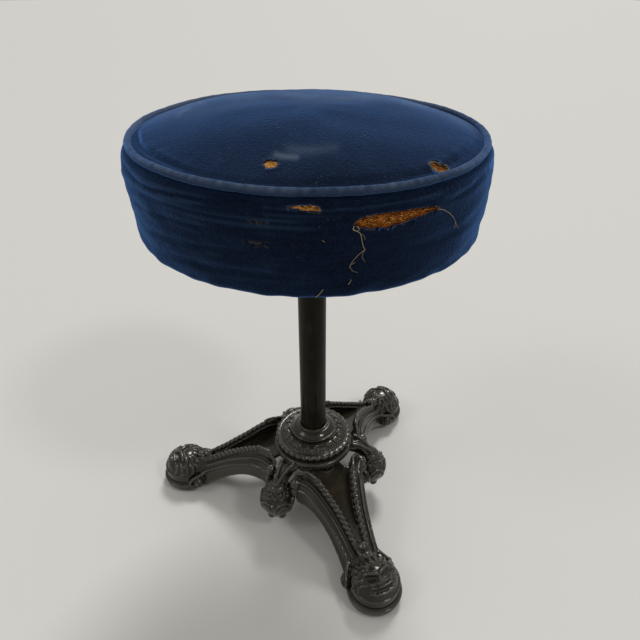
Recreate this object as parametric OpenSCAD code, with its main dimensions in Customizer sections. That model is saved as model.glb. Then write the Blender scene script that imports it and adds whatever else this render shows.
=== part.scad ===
// Revolving piano stool. A round upholstered seat is carried on a screw spindle that turns in
// a tubular column. The column stands in a cast-iron base with three openwork legs.
// The origin is on the floor, on the column's axis, and the front leg points along -Y.

/* [Seat] */
// Diameter over the velvet side band
seat_d = 356; // [320:1:400]
// Height of the side band, from its lower edge to the middle of the welt
seat_side_h = 88; // [70:1:120]
// Height of the crown above the middle of the welt
crown_h = 25; // [14:1:35]
// Thickness of the welt that joins the top panel to the side band
welt_d = 7; // [5:0.5:9]
// Thickness of the velvet with its lining
velvet_t = 2; // [1.5:0.1:3]
// Width of the velvet turned under the seat board
hem_w = 20; // [12:1:30]
// Thickness of the seat board
board_t = 18; // [14:1:24]

/* [Seat plate] */
// Height of the plate's hub below its flange
plate_hub_h = 25; // [18:1:35]
// Diameter of the plate's hub
plate_hub_d = 44; // [38:1:54]
// Thickness of the plate's flange and arms
plate_t = 5; // [4:0.5:8]
// Distance from the axis to the end of each plate arm
plate_arm_r = 80; // [64:1:100]
// Width of a plate arm
plate_arm_w = 24; // [18:1:30]
// Diameter of the wood screws' shanks
wood_screw_d = 5; // [4:0.5:6]
// Length of the wood screws under the plate
wood_screw_l = 20; // [16:1:22]

/* [Screw] */
// Diameter of the spindle's thread
spindle_d = 20; // [18:0.5:22]
// Rise of the seat for one turn
thread_lead = 8; // [6:0.5:10]
// Turns from the lowest to the highest place
seat_turns = 7.25; // [5:0.25:9]
// Length of the bush inside the column
bush_l = 50; // [40:1:60]
// Thickness of the bush's rim on top of the column
bush_rim_t = 4; // [3:0.5:6]
// Thickness of the stop washer
stop_washer_t = 5; // [3:0.5:8]
// Diameter of the journal that carries the stop washer
journal_d = 12; // [10:0.5:13]

/* [Column] */
// Height of the column's top edge above the floor
column_top = 391; // [370:1:450]
// Outside diameter of the column
column_d = 33; // [30:0.5:36]
// Wall of the column
column_wall = 3; // [2.5:0.1:3.2]

/* [Base] */
// Distance from the axis to the middle of each foot
foot_circle_r = 185; // [170:1:210]
// Diameter over a foot's pad
foot_d = 68; // [64:1:76]
// Thickness of a foot's pad
pad_t = 15; // [10:0.5:18]
// Diameter of the mask above the pad
mask_d = 60; // [52:1:64]
// Height of the legs' crest above the floor, near the hub
crest_z = 96; // [88:1:104]
// Half the spread of a leg's two ribs at the hub
rib_spread = 56; // [50:1:58]
// Wall of a rib
rib_t = 6; // [5:0.5:7]
// Thickness of the roll along a rib's inner edge
roll_d = 7; // [5:0.5:8]
// Thickness of the web between the ribs
web_t = 5; // [4:0.5:7]
// Diameter of the hub's rim
hub_d = 106; // [100:1:112]
// Height of the hub's upper face above the floor
hub_top = 97; // [94:1:106]
// Thickness of the hub's rim
hub_t = 9; // [8:0.5:10]
// Diameter of the hub's boss round the column
hub_boss_d = 52; // [48:1:54]
// Height of the hub's boss
hub_boss_h = 37; // [30:1:40]
// Distance from the axis to the middle of each pendant
pendant_circle_r = 79; // [76:1:84]
// Diameter of a pendant
pendant_d = 45; // [38:1:46]
// Height of a pendant's lower end above the floor
pendant_low = 24; // [18:1:30]
// Diameter of the leg bolts
leg_bolt_d = 8; // [6:1:8]

/* [Collar] */
// Diameter over the collar's rim
collar_d = 101; // [96:1:104]
// Height of the collar
collar_h = 30; // [28:1:36]
// Wall of the collar
collar_wall = 4; // [3:0.5:5]

/* [Fits] */
// Gap between the spindle's thread and the bush
run_gap = 0.08; // [0.05:0.01:0.1]
// Gap between soft pieces and what they lie on
soft_gap = 0.3; // [0.2:0.05:0.4]
// Gap round fixed pieces that fit one in another
fit_gap = 0.05; // [0.02:0.01:0.1]

/* [Hidden] */
$fn = 64;

// Directions of the legs, of the pendants between them, and of the plate's arms
leg_front_a = -90;
leg_step_a = 120;
pendant_step_a = leg_step_a / 2;
plate_arms = 4;
plate_step_a = 360 / plate_arms;
plate_first_a = plate_step_a / 2;
// Overrun of every cut
over = 1;

// Heights worked out from the floor up
hub_low = hub_top - hub_t;
boss_low = hub_low - hub_boss_h + hub_t;
bush_top = column_top + bush_rim_t;
plate_low = bush_top + soft_gap;
board_z = plate_low + plate_hub_h + plate_t;
side_z = board_z - velvet_t - soft_gap;
welt_z = side_z + seat_side_h;
travel = thread_lead * seat_turns;

// Steps of a smooth curve between two of its points
fine = 4;
function spline_at(p, i, t) =
    let (n = len(p) - 1, a = p[max(i - 1, 0)], b = p[i], c = p[min(i + 1, n)],
         d = p[min(i + 2, n)])
    0.5 * (2 * b + (c - a) * t + (2 * a - 5 * b + 4 * c - d) * pow(t, 2)
        + (3 * b - a - 3 * c + d) * pow(t, 3));
function spline(p, steps = fine) =
    [for (i = [0 : len(p) - 2], k = [0 : steps - 1]) spline_at(p, i, k / steps), p[len(p) - 1]];
function reversed(p) = [for (i = [len(p) - 1 : -1 : 0]) p[i]];
function scaled(p, s) = [for (q = p) [for (k = [0 : len(s) - 1]) q[k] * s[k]]];

// A closed skin over a row of rings that each have the same number of points
module skin(rings) {
    n = len(rings[0]);
    last = (len(rings) - 1) * n;
    points = [for (r = rings) each r];
    walls = [for (i = [0 : len(rings) - 2], k = [0 : n - 1])
        let (a = i * n + k, b = i * n + (k + 1) % n)
        each [[a, b, b + n], [a, b + n, a + n]]];
    ends = [for (k = [1 : n - 2]) each [[0, k + 1, k], [last, last + k, last + k + 1]]];
    polyhedron(points, concat(walls, ends));
}

// A hexagon prism across two flats
module hexagon(flats, h) cylinder(h = h, d = flats / cos(30), $fn = 6);

// Hub: rim, boss with the column's bore, and three arms that end in pendants. An arm is a fan,
// broad at the rim, and its reeds part from the tip.
// Arm rows are shares of the hub's radius and of its height, along the arm's top and underside.
arm_top_shares = [[0.80, 0.95], [1.02, 0.955], [1.16, 0.945], [1.30, 0.895], [1.40, 0.825],
    [1.48, 0.74]];
arm_low_shares = [[1.36, 0.69], [1.24, 0.77], [1.12, 0.85], [0.98, 0.90], [0.80, 0.92]];
// Plan rows are shares of the hub's radius and of half the arm's width at the root
arm_plan_shares = [[0.80, 1], [1.0, 0.93], [1.12, 0.75], [1.24, 0.58], [1.36, 0.52],
    [1.50, 0.52]];
arm_root_w = 28;
reeds = 3;
reed_w = 2.6;
reed_rise = 1.5;
reed_fan_a = 15;
reed_tip_share = 1.42;
pendant_top = 80;
pendant_shares = [[0, 0], [0.22, 0.012], [0.52, 0.07], [0.80, 0.19], [0.97, 0.36],
    [1.00, 0.47], [0.92, 0.61], [0.74, 0.74], [0.52, 0.83], [0.56, 0.87], [0.50, 0.92],
    [0.34, 0.97], [0, 1]];
rim_round = 3;
column_bore_d = column_d + 2 * fit_gap;

module pendant_drop() {
    h = pendant_top - pendant_low;
    translate([pendant_circle_r, 0, pendant_low]) rotate_extrude()
        polygon(scaled(spline(pendant_shares, 2), [pendant_d / 2, h]));
}

module arm_slice(w, rise) {
    s = [hub_d / 2, hub_top];
    translate([0, w / 2, 0]) rotate([90, 0, 0]) linear_extrude(w)
        polygon(concat([for (q = scaled(spline(arm_top_shares, 3), s)) q + [0, rise]],
            scaled(spline(arm_low_shares, 3), s)));
}

module hub_arm() {
    half = scaled(spline(arm_plan_shares, 2), [hub_d / 2, arm_root_w / 2]);
    tip = reed_tip_share * hub_d / 2;
    intersection() {
        arm_slice(arm_root_w, 0);
        linear_extrude(hub_top) polygon(concat(half, reversed(scaled(half, [1, -1]))));
    }
    for (i = [0 : reeds - 1]) translate([tip, 0, 0])
        rotate((i - (reeds - 1) / 2) * reed_fan_a) translate([-tip, 0, 0])
            arm_slice(reed_w, reed_rise);
}

module hub() {
    r = hub_d / 2;
    q = rim_round;
    color("#2b2824") difference() {
        union() {
            rotate_extrude() polygon([[0, boss_low], [hub_boss_d / 2 - q, boss_low],
                [hub_boss_d / 2, boss_low + q], [hub_boss_d / 2, hub_low],
                [r - q, hub_low], [r - q / 3, hub_low + q / 3], [r, hub_low + q],
                [r, hub_top - q], [r - q / 3, hub_top - q / 3], [r - q, hub_top], [0, hub_top]]);
            for (i = [0 : 2])
                rotate(leg_front_a + pendant_step_a + i * leg_step_a) {
                    hub_arm();
                    pendant_drop();
                }
        }
        translate([0, 0, boss_low - over]) cylinder(h = hub_boss_h + 2 * over, d = column_bore_d);
        for (i = [0 : 2]) rotate(leg_front_a + i * leg_step_a)
            translate([lug_r, 0, hub_low - over])
                cylinder(h = leg_bolt_grip + over + fit_gap, d = leg_bolt_d + 2 * fit_gap);
    }
}

// Leg: two ribs that part from the foot to the hub, each with a roll along its upper edge, a
// sloping face, a shoulder and a lower edge; a sunk web between them; the foot with its mask.
// Each row is a place along the leg, sideways and upward, as shares of the foot circle, the
// ribs' spread and the crest's height.
roll_shares = [[0.254, 0.72, 0.92], [0.300, 0.57, 0.98], [0.357, 0.48, 0.985],
    [0.432, 0.385, 0.925], [0.541, 0.265, 0.80], [0.622, 0.205, 0.705], [0.692, 0.165, 0.615],
    [0.773, 0.13, 0.525], [0.838, 0.10, 0.47], [0.900, 0.08, 0.44]];
shoulder_shares = [[0.282, 0.95, 0.735], [0.320, 0.83, 0.75], [0.360, 0.73, 0.755],
    [0.446, 0.63, 0.74], [0.541, 0.53, 0.66], [0.622, 0.46, 0.585], [0.700, 0.41, 0.50],
    [0.784, 0.37, 0.40], [0.846, 0.35, 0.33], [0.900, 0.34, 0.28]];
edge_shares = [[0.312, 0.87, 0.53], [0.336, 0.80, 0.52], [0.370, 0.73, 0.52],
    [0.449, 0.65, 0.53], [0.541, 0.56, 0.47], [0.622, 0.51, 0.39], [0.708, 0.47, 0.28],
    [0.795, 0.46, 0.17], [0.850, 0.46, 0.11], [0.900, 0.44, 0.08]];
web_shares = [[0.165, 0.23], [0.27, 0.42], [0.31, 0.66], [0.378, 0.58], [0.486, 0.47],
    [0.595, 0.37], [0.70, 0.26], [0.80, 0.15]];
web_z_share = 0.80;
web_slope = 18;
web_origin = web_shares[2][0] * foot_circle_r;
// Lug that stands on the web and carries the leg bolt
lug_r = 40;
lug_d = 20;
lug_low = web_z_share * crest_z - web_t;
leg_bolt_grip = 6;
leg_bolt_head_t = 5.5;
leg_bolt_flats = 13;
// Share of a roll's radius that rounds the roll
roll_share = 0.7;
// Neck between the ribs and the mask, and the rosette where the two rolls meet
neck_share = 0.86;
neck_d = 42;
neck_z = 22;
rosette_share = 0.82;
rosette_z_share = 0.53;
rosette_d = 11;
// Foot: a pad that widens upward, in shares of its radius and thickness, and the mask's parts
pad_shares = [[0, 0], [0.80, 0], [0.86, 0.06], [0.94, 0.30], [0.99, 0.62], [1.0, 0.84],
    [0.985, 0.95], [0.94, 1], [0, 1]];
mask_z = 20;
lock_d = 17;
lock_shares = [-0.36, 0.42];
muzzle_d = 30;
muzzle_share = 0.24;

function rib_ring(a, b, c, side) =
    let (q = roll_d / 2, f = roll_share * q, s = [1, side, 1])
    scaled([a + [0, -q, 0], a + [0, -f, f], a + [0, 0, q], a + [0, f, f], a + [0, q, 0],
        (2 * a + b) / 3 + [0, 0, -q / 2], (a + 3 * b) / 4 + [0, 0, q / 2], b,
        (b + c) / 2 + [0, -q / 4, 0], c, c + [0, -rib_t, 0], b + [0, -rib_t, -rib_t / 2],
        a + [0, -q / 2, -rib_t]], s);

module rib(side) {
    s = [foot_circle_r, rib_spread, crest_z];
    a = scaled(spline(roll_shares), s);
    b = scaled(spline(shoulder_shares), s);
    c = scaled(spline(edge_shares), s);
    rings = [for (i = [0 : len(a) - 1]) rib_ring(a[i], b[i], c[i], side)];
    skin(side > 0 ? rings : [for (r = rings) reversed(r)]);
}

module web() {
    p = scaled(web_shares, [foot_circle_r, rib_spread]);
    outline = concat(p, reversed(scaled(p, [1, -1])));
    translate([0, 0, web_z_share * crest_z]) rotate([0, web_slope, 0])
        translate([-web_origin, 0, -web_t]) linear_extrude(web_t) polygon(outline);
}

module foot() {
    translate([foot_circle_r, 0, 0]) {
        rotate_extrude() polygon(scaled(pad_shares, [foot_d / 2, pad_t]));
        intersection() {
            translate([0, 0, mask_z]) sphere(d = mask_d);
            cylinder(h = mask_d, d = mask_d + over);
        }
        translate([muzzle_share * mask_d, 0, mask_z]) sphere(d = muzzle_d);
        for (side = [-1, 1])
            translate([lock_shares[0] * mask_d, side * lock_shares[1] * mask_d, lock_d])
                sphere(d = lock_d);
    }
}

module leg() {
    color("#2b2824") difference() {
        union() {
            rib(1);
            rib(-1);
            translate([web_origin, 0, 0]) web();
            foot();
            translate([neck_share * foot_circle_r, 0, neck_z]) sphere(d = neck_d);
            translate([rosette_share * foot_circle_r, 0, rosette_z_share * crest_z])
                sphere(d = rosette_d);
            translate([lug_r, 0, lug_low]) cylinder(h = hub_low - lug_low, d = lug_d);
        }
        translate([lug_r, 0, 0]) cylinder(h = hub_top, d = leg_bolt_d + 2 * fit_gap);
    }
}

module leg_bolt() {
    shank_h = hub_low - lug_low + leg_bolt_grip;
    translate([lug_r, 0, lug_low]) color("#3a3733") {
        translate([0, 0, -leg_bolt_head_t]) hexagon(leg_bolt_flats, leg_bolt_head_t);
        translate([0, 0, -over]) cylinder(h = shank_h + over, d = leg_bolt_d);
    }
}

// Column with the nuts that clamp it in the hub
nut_flats = 46;
nut_h = 10;
washer_d = 50;
washer_t = 3;
column_low = boss_low - washer_t - nut_h - over;
bush_screw_d = 5;
bush_screw_drop = 18;
bush_screw_bite = 3;

module column() {
    color("#26221e") difference() {
        translate([0, 0, column_low]) cylinder(h = column_top - column_low, d = column_d);
        translate([0, 0, column_low - over])
            cylinder(h = column_top - column_low + 2 * over, d = column_d - 2 * column_wall);
        translate([0, 0, column_top - bush_screw_drop]) rotate([90, 0, 0])
            cylinder(h = column_d, d = bush_screw_d + 2 * fit_gap);
    }
}

module ring_nut(z) {
    color("#3a3733") difference() {
        translate([0, 0, z]) hexagon(nut_flats, nut_h);
        translate([0, 0, z - over]) cylinder(h = nut_h + 2 * over, d = column_bore_d);
    }
}

module upper_nut() ring_nut(hub_top);
module lower_nut() ring_nut(boss_low - washer_t - nut_h);
module lower_washer() {
    color("#4a4640") difference() {
        translate([0, 0, boss_low - washer_t]) cylinder(h = washer_t, d = washer_d);
        translate([0, 0, boss_low - washer_t - over])
            cylinder(h = washer_t + 2 * over, d = column_bore_d);
    }
}

// Collar: a hollow ornamental cap on the hub, with a dome round the column, a sloping band and
// a rim. Rows are shares of the rim's radius and of the collar's height.
collar_shares = [[0.87, 0], [0.87, 0.15], [0.93, 0.16], [0.985, 0.20], [1.0, 0.27],
    [0.985, 0.34], [0.93, 0.38], [0.88, 0.375], [0.86, 0.42], [0.79, 0.52], [0.71, 0.58],
    [0.675, 0.585], [0.655, 0.64], [0.62, 0.74], [0.54, 0.87], [0.44, 0.96], [0.36, 1.0]];
collar_inner_shares = [[0.70, 0.44], [0.56, 0.56], [0.48, 0.70], [0.36, 0.80]];
collar_throat_share = 0.80;
collar_neck_share = 0.40;

module collar() {
    s = [collar_d / 2, collar_h];
    out = scaled(collar_shares, s);
    neck = out[0][0] - collar_wall;
    bore = column_bore_d / 2;
    inside = concat([[bore, collar_h], [bore, collar_throat_share * collar_h]],
        reversed(scaled(collar_inner_shares, s)), [[neck, collar_neck_share * collar_h], [neck, 0]]);
    color("#2b2824") translate([0, 0, hub_top]) rotate_extrude() polygon(concat(out, inside));
}

// Bush, spindle and the stop at the spindle's lower end
bush_bore_d = spindle_d + 2 * run_gap;
column_bore = column_d - 2 * column_wall;
stop_z = column_top - bush_l - travel - soft_gap;
stop_nut_flats = 18;
stop_nut_h = 9;
stop_pin_d = 3;
// Length of the stop pin as a share of the journal's diameter
stop_pin_share = 1.6;
stop_tail = 9;
spindle_low = stop_z - stop_washer_t - stop_nut_h - stop_tail;

module bush() {
    color("#6b5a3a") difference() {
        union() {
            translate([0, 0, column_top - bush_l])
                cylinder(h = bush_l + over, d = column_bore - 2 * fit_gap);
            translate([0, 0, column_top]) cylinder(h = bush_rim_t, d = column_d);
        }
        translate([0, 0, column_top - bush_l - over])
            cylinder(h = bush_l + bush_rim_t + 2 * over, d = bush_bore_d);
        translate([0, 0, column_top - bush_screw_drop]) rotate([90, 0, 0])
            translate([0, 0, column_bore / 2 - bush_screw_bite])
                cylinder(h = column_d, d = bush_screw_d + 2 * fit_gap);
    }
}

module bush_screw() {
    l = column_wall + bush_screw_bite - 2 * fit_gap;
    color("#3a3733") translate([0, 0, column_top - bush_screw_drop]) rotate([90, 0, 0])
        translate([0, 0, column_d / 2 - l - fit_gap]) cylinder(h = l, d = bush_screw_d);
}

module stop_washer() {
    color("#4a4640") difference() {
        translate([0, 0, stop_z - stop_washer_t])
            cylinder(h = stop_washer_t, d = column_bore - 2 * soft_gap);
        translate([0, 0, stop_z - stop_washer_t - over])
            cylinder(h = stop_washer_t + 2 * over, d = journal_d + 2 * run_gap);
    }
}

module spindle() {
    color("#5a564f") difference() {
        union() {
            translate([0, 0, stop_z + fit_gap])
                cylinder(h = board_z - stop_z - 2 * fit_gap, d = spindle_d);
            translate([0, 0, spindle_low]) cylinder(h = stop_z - spindle_low + over, d = journal_d);
        }
        translate([0, journal_d, spindle_low + stop_tail / 2]) rotate([90, 0, 0])
            cylinder(h = 2 * journal_d, d = stop_pin_d + 2 * fit_gap);
        translate([0, spindle_d, pin_z]) rotate([90, 0, 0])
            cylinder(h = 2 * spindle_d, d = plate_pin_d + 2 * fit_gap);
    }
}

module stop_nut() {
    z = stop_z - stop_washer_t - stop_nut_h - 2 * fit_gap;
    color("#3a3733") difference() {
        translate([0, 0, z]) hexagon(stop_nut_flats, stop_nut_h);
        translate([0, 0, z - over]) cylinder(h = stop_nut_h + 2 * over, d = journal_d + 2 * fit_gap);
    }
}

module stop_pin() {
    l = journal_d * stop_pin_share;
    color("#6e6a62") translate([0, l / 2, spindle_low + stop_tail / 2])
        rotate([90, 0, 0]) cylinder(h = l, d = stop_pin_d);
}

// Seat plate: hub, round flange and four arms with screw holes and gussets
plate_pin_d = 5;
pin_z = plate_low + plate_hub_h / 2;
plate_disc_d = 64;
gusset_t = 5;
gusset_r = 52;
gusset_low_share = 0.25;
screw_r = plate_arm_r - plate_arm_w / 2;
screw_head_d = 10;
screw_head_h = 3;
// Half-section of a round screw head, in shares of its diameter and height
screw_head_shares = [[0, 0], [0.3, 0], [0.5, 0.6], [0.5, 1], [0, 1]];

module plate_arm() {
    translate([0, 0, plate_low + plate_hub_h]) {
        translate([0, -plate_arm_w / 2, 0]) cube([screw_r, plate_arm_w, plate_t]);
        translate([screw_r, 0, 0]) cylinder(h = plate_t, d = plate_arm_w);
    }
    low = plate_hub_h * gusset_low_share;
    high = plate_hub_h + plate_t / 2;
    translate([0, gusset_t / 2, plate_low]) rotate([90, 0, 0]) linear_extrude(gusset_t)
        polygon([[0, low], [plate_hub_d / 2, low], [gusset_r, plate_hub_h], [gusset_r, high],
            [0, high]]);
}

module at_screw(i) rotate(plate_first_a + i * plate_step_a) translate([screw_r, 0, 0]) children();

module seat_plate() {
    color("#35322d") difference() {
        union() {
            translate([0, 0, plate_low]) cylinder(h = plate_hub_h + plate_t, d = plate_hub_d);
            translate([0, 0, plate_low + plate_hub_h]) cylinder(h = plate_t, d = plate_disc_d);
            for (i = [0 : plate_arms - 1]) rotate(plate_first_a + i * plate_step_a) plate_arm();
        }
        translate([0, 0, plate_low - over])
            cylinder(h = plate_hub_h + plate_t + 2 * over, d = spindle_d + 2 * fit_gap);
        translate([0, plate_hub_d, pin_z]) rotate([90, 0, 0])
            cylinder(h = 2 * plate_hub_d, d = plate_pin_d + 2 * fit_gap);
        for (i = [0 : plate_arms - 1]) at_screw(i) translate([0, 0, plate_low])
            cylinder(h = plate_hub_h + plate_t + over, d = wood_screw_d + 2 * fit_gap);
    }
}

module plate_pin() {
    color("#6e6a62") translate([0, plate_hub_d / 2 - fit_gap, pin_z]) rotate([90, 0, 0])
        cylinder(h = plate_hub_d - 2 * fit_gap, d = plate_pin_d);
}

module wood_screw() {
    translate([0, 0, plate_low + plate_hub_h]) color("#7a756b") {
        translate([0, 0, -screw_head_h]) rotate_extrude()
            polygon(scaled(screw_head_shares, [screw_head_d, screw_head_h]));
        translate([0, 0, -over]) cylinder(h = wood_screw_l + over, d = wood_screw_d);
    }
}

// Seat board and upholstery, all turned shapes. Rows of the side are shares of the seat's
// radius and of the side band's height; the crown is a smooth power curve.
side_shares = [[0.962, 0], [0.976, 0.035], [0.985, 0.11], [0.993, 0.26], [0.998, 0.45],
    [1.000, 0.62], [0.998, 0.78], [0.990, 0.90], [0.972, 0.958]];
crown_power = 2.4;
crown_steps = 14;
welt_inset = 8;
seat_r = seat_d / 2;
welt_ring_r = seat_r - welt_inset;
crown_r = welt_ring_r - welt_d / 2 - fit_gap;
board_r = side_shares[0][0] * seat_r - velvet_t - soft_gap;

// Outline of the velvet's outer face, and the same outline drawn in by a depth
function side_outline(depth) =
    [for (q = spline(side_shares, 3)) [q[0] * seat_r - depth, side_z + q[1] * seat_side_h]];
function crown_outline(depth) = [for (k = [0 : crown_steps])
    let (r = crown_r * k / crown_steps)
    [r, welt_z + crown_h * (1 - pow(r / crown_r, crown_power)) - depth]];

module seat_board() {
    color("#8a6a45") difference() {
        translate([0, 0, board_z]) cylinder(h = board_t, r = board_r, $fn = 128);
        for (i = [0 : plate_arms - 1]) at_screw(i) translate([0, 0, board_z - over])
            cylinder(h = wood_screw_l - plate_t + over + fit_gap, d = wood_screw_d + 2 * fit_gap);
    }
}

module padding() {
    low = board_z + board_t;
    high = welt_z - welt_d - velvet_t / 2;
    side = [for (q = side_outline(velvet_t + soft_gap)) if (q[1] > low + over && q[1] < high) q];
    top = [for (q = crown_outline(velvet_t + soft_gap)) if (q[0] < crown_r - 2 * velvet_t) q];
    color("#a8672c") rotate_extrude($fn = 128)
        polygon(concat([[0, low], [side[0][0], low]], side, reversed(top)));
}

module cover_top() {
    color("#1d3564") rotate_extrude($fn = 128)
        polygon(concat(crown_outline(0), reversed(crown_outline(velvet_t))));
}

module cover_side() {
    out = side_outline(0);
    inside = [for (q = side_outline(velvet_t)) if (q[1] > board_z - soft_gap) q];
    hem_r = out[0][0] - hem_w;
    color("#1a2f5a") rotate_extrude($fn = 128)
        polygon(concat([[hem_r, side_z]], out, reversed(inside),
            [[inside[0][0], board_z - soft_gap], [hem_r, board_z - soft_gap]]));
}

module welt() {
    color("#223a6b") rotate_extrude($fn = 128) translate([welt_ring_r, welt_z])
        circle(d = welt_d, $fn = 32);
}

module at_leg(i) rotate(leg_front_a + i * leg_step_a) children();

hub();
at_leg(0) leg();  // leg_front
at_leg(1) leg();  // leg_right
at_leg(2) leg();  // leg_left
at_leg(0) leg_bolt();  // leg_bolt_front
at_leg(1) leg_bolt();  // leg_bolt_right
at_leg(2) leg_bolt();  // leg_bolt_left
column();
upper_nut();
lower_washer();
lower_nut();
collar();
bush();
bush_screw();
stop_washer();
spindle();
stop_nut();
stop_pin();
seat_plate();
plate_pin();
at_screw(0) wood_screw();  // wood_screw_1
at_screw(1) wood_screw();  // wood_screw_2
at_screw(2) wood_screw();  // wood_screw_3
at_screw(3) wood_screw();  // wood_screw_4
seat_board();
padding();
cover_top();
cover_side();
welt();
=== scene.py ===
import math

import bpy
import numpy as np
from mathutils import Matrix, Vector
from mathutils.bvhtree import BVHTree


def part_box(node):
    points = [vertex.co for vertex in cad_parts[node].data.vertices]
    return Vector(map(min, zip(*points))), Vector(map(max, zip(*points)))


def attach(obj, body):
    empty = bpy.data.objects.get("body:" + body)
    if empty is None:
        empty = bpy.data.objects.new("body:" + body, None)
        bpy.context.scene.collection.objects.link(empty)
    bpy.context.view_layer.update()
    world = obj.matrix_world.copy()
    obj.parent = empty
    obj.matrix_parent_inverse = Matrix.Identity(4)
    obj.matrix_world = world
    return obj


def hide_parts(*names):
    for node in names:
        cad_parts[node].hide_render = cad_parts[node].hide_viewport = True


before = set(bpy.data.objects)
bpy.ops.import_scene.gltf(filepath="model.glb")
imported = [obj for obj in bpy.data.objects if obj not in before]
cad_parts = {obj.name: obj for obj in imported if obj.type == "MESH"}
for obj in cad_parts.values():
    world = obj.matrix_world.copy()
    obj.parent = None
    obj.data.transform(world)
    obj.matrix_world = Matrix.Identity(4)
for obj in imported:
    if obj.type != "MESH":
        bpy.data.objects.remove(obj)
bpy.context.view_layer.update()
scene = bpy.context.scene
MM = 0.001

# The camera stands in front of the stool and a little to its left, above the seat, and looks
# down on it. Its place, heading and lens were fitted to the seat, column and feet in the photo.
PHOTO_PX = 640
FOCAL_PX = 569.1
CAMERA_AT = (-0.21909, -0.52257, 0.66034)
HEADING, PITCH, ROLL = math.radians(26.109), math.radians(33.239), math.radians(1.236)
MIDDLE_SHIFT_PX = 20.2

lens = bpy.data.cameras.new("camera")
lens.sensor_width = 36
lens.lens = FOCAL_PX * lens.sensor_width / PHOTO_PX
lens.shift_x = -MIDDLE_SHIFT_PX / PHOTO_PX
camera = bpy.data.objects.new("camera", lens)
scene.collection.objects.link(camera)
scene.camera = camera
look = Matrix.Rotation(-HEADING, 4, "Z") @ Matrix.Rotation(math.pi / 2 - PITCH, 4, "X")
camera.matrix_world = Matrix.Translation(CAMERA_AT) @ look @ Matrix.Rotation(ROLL, 4, "Z")


def sight(pixel):
    """Direction in which the camera sees a pixel of the photograph."""
    right = (pixel[0] - PHOTO_PX / 2 - MIDDLE_SHIFT_PX) / FOCAL_PX
    down = (pixel[1] - PHOTO_PX / 2) / FOCAL_PX
    return (camera.matrix_world.to_3x3() @ Vector((right, -down, -1))).normalized()


def seen_at(points):
    """Pixels of the photograph at which the camera sees an array of points."""
    turn = np.array(camera.matrix_world.to_3x3())
    local = (points - np.array(CAMERA_AT)) @ turn
    x = PHOTO_PX / 2 + MIDDLE_SHIFT_PX - FOCAL_PX * local[..., 0] / local[..., 2]
    y = PHOTO_PX / 2 + FOCAL_PX * local[..., 1] / local[..., 2]
    return np.stack([x, y], -1)


# A plain pale floor under soft light: a strong lamp high at the back right, as the light falls
# in the photo, weak ones from the left and the front right, and an even pale surround.
FLOOR_TONE, FLOOR_ROUGH, FLOOR_HALF = (0.66, 0.645, 0.61, 1), 0.7, 9
SURROUND = (0.84, 0.83, 0.81, 1)
SURROUND_LEVEL = 0.526
LAMPS = [("lamp_back", (1.1, 1.3, 2.4), 16, 1.40), ("lamp_left", (-1.7, 0.1, 1.7), 14, 0.24),
         ("lamp_front", (0.8, -1.35, 1.8), 9, 0.42)]


class Signal:
    """An output of a node. Sums and products of signals add nodes to the same tree."""

    def __init__(self, node, output):
        self.tree, self.socket = node.id_data, node.outputs[output]

    def maths(self, operation, other):
        return Signal(add(self.tree, "ShaderNodeMath", {"operation": operation},
                          i0=self, i1=other), 0)

    def __add__(self, other):
        return self.maths("ADD", other)

    def __mul__(self, other):
        return self.maths("MULTIPLY", other)

    __radd__, __rmul__ = __add__, __mul__


def wire(node, **inputs):
    """Gives a node its inputs, by name or number; each may be a value or a signal."""
    for label, value in inputs.items():
        numbered = label[0] == "i" and label[1:].isdigit()
        socket = node.inputs[int(label[1:]) if numbered else label.replace("_", " ")]
        if isinstance(value, Signal):
            value.tree.links.new(value.socket, socket)
        else:
            socket.default_value = value
    return node


def add(tree, kind, settings=None, **inputs):
    """A new node with its settings and inputs."""
    node = tree.nodes.new(kind)
    for key, value in (settings or {}).items():
        setattr(node, key, value)
    return wire(node, **inputs)


def new_material(name, **even):
    """A material, its node tree and its shader, with the shader's even values."""
    material = bpy.data.materials.new(name)
    material.use_nodes = True
    tree = material.node_tree
    return material, tree, wire(tree.nodes["Principled BSDF"], **even)


floor_mesh = bpy.data.meshes.new("floor")
floor_mesh.from_pydata([(-FLOOR_HALF, -FLOOR_HALF, 0), (FLOOR_HALF, -FLOOR_HALF, 0),
                        (FLOOR_HALF, FLOOR_HALF, 0), (-FLOOR_HALF, FLOOR_HALF, 0)],
                       [], [(0, 1, 2, 3)])
floor = bpy.data.objects.new("floor", floor_mesh)
scene.collection.objects.link(floor)
floor_mesh.materials.append(
    new_material("floor_paint", Base_Color=FLOOR_TONE, Roughness=FLOOR_ROUGH)[0])

world = bpy.data.worlds.new("surround")
scene.world = world
world.use_nodes = True
world.node_tree.nodes["Background"].inputs["Color"].default_value = SURROUND
world.node_tree.nodes["Background"].inputs["Strength"].default_value = SURROUND_LEVEL
scene.view_settings.view_transform = "Standard"


def lamp(name, place, spread, level):
    """A soft lamp far off in the direction of a place; spread is how wide it looks."""
    light = bpy.data.lights.new(name, "SUN")
    light.angle = math.radians(spread)
    light.energy = level
    holder = bpy.data.objects.new(name, light)
    scene.collection.objects.link(holder)
    holder.location = place
    holder.rotation_euler = (-Vector(place)).to_track_quat("-Z", "Y").to_euler()


for settings in LAMPS:
    lamp(*settings)

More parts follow.
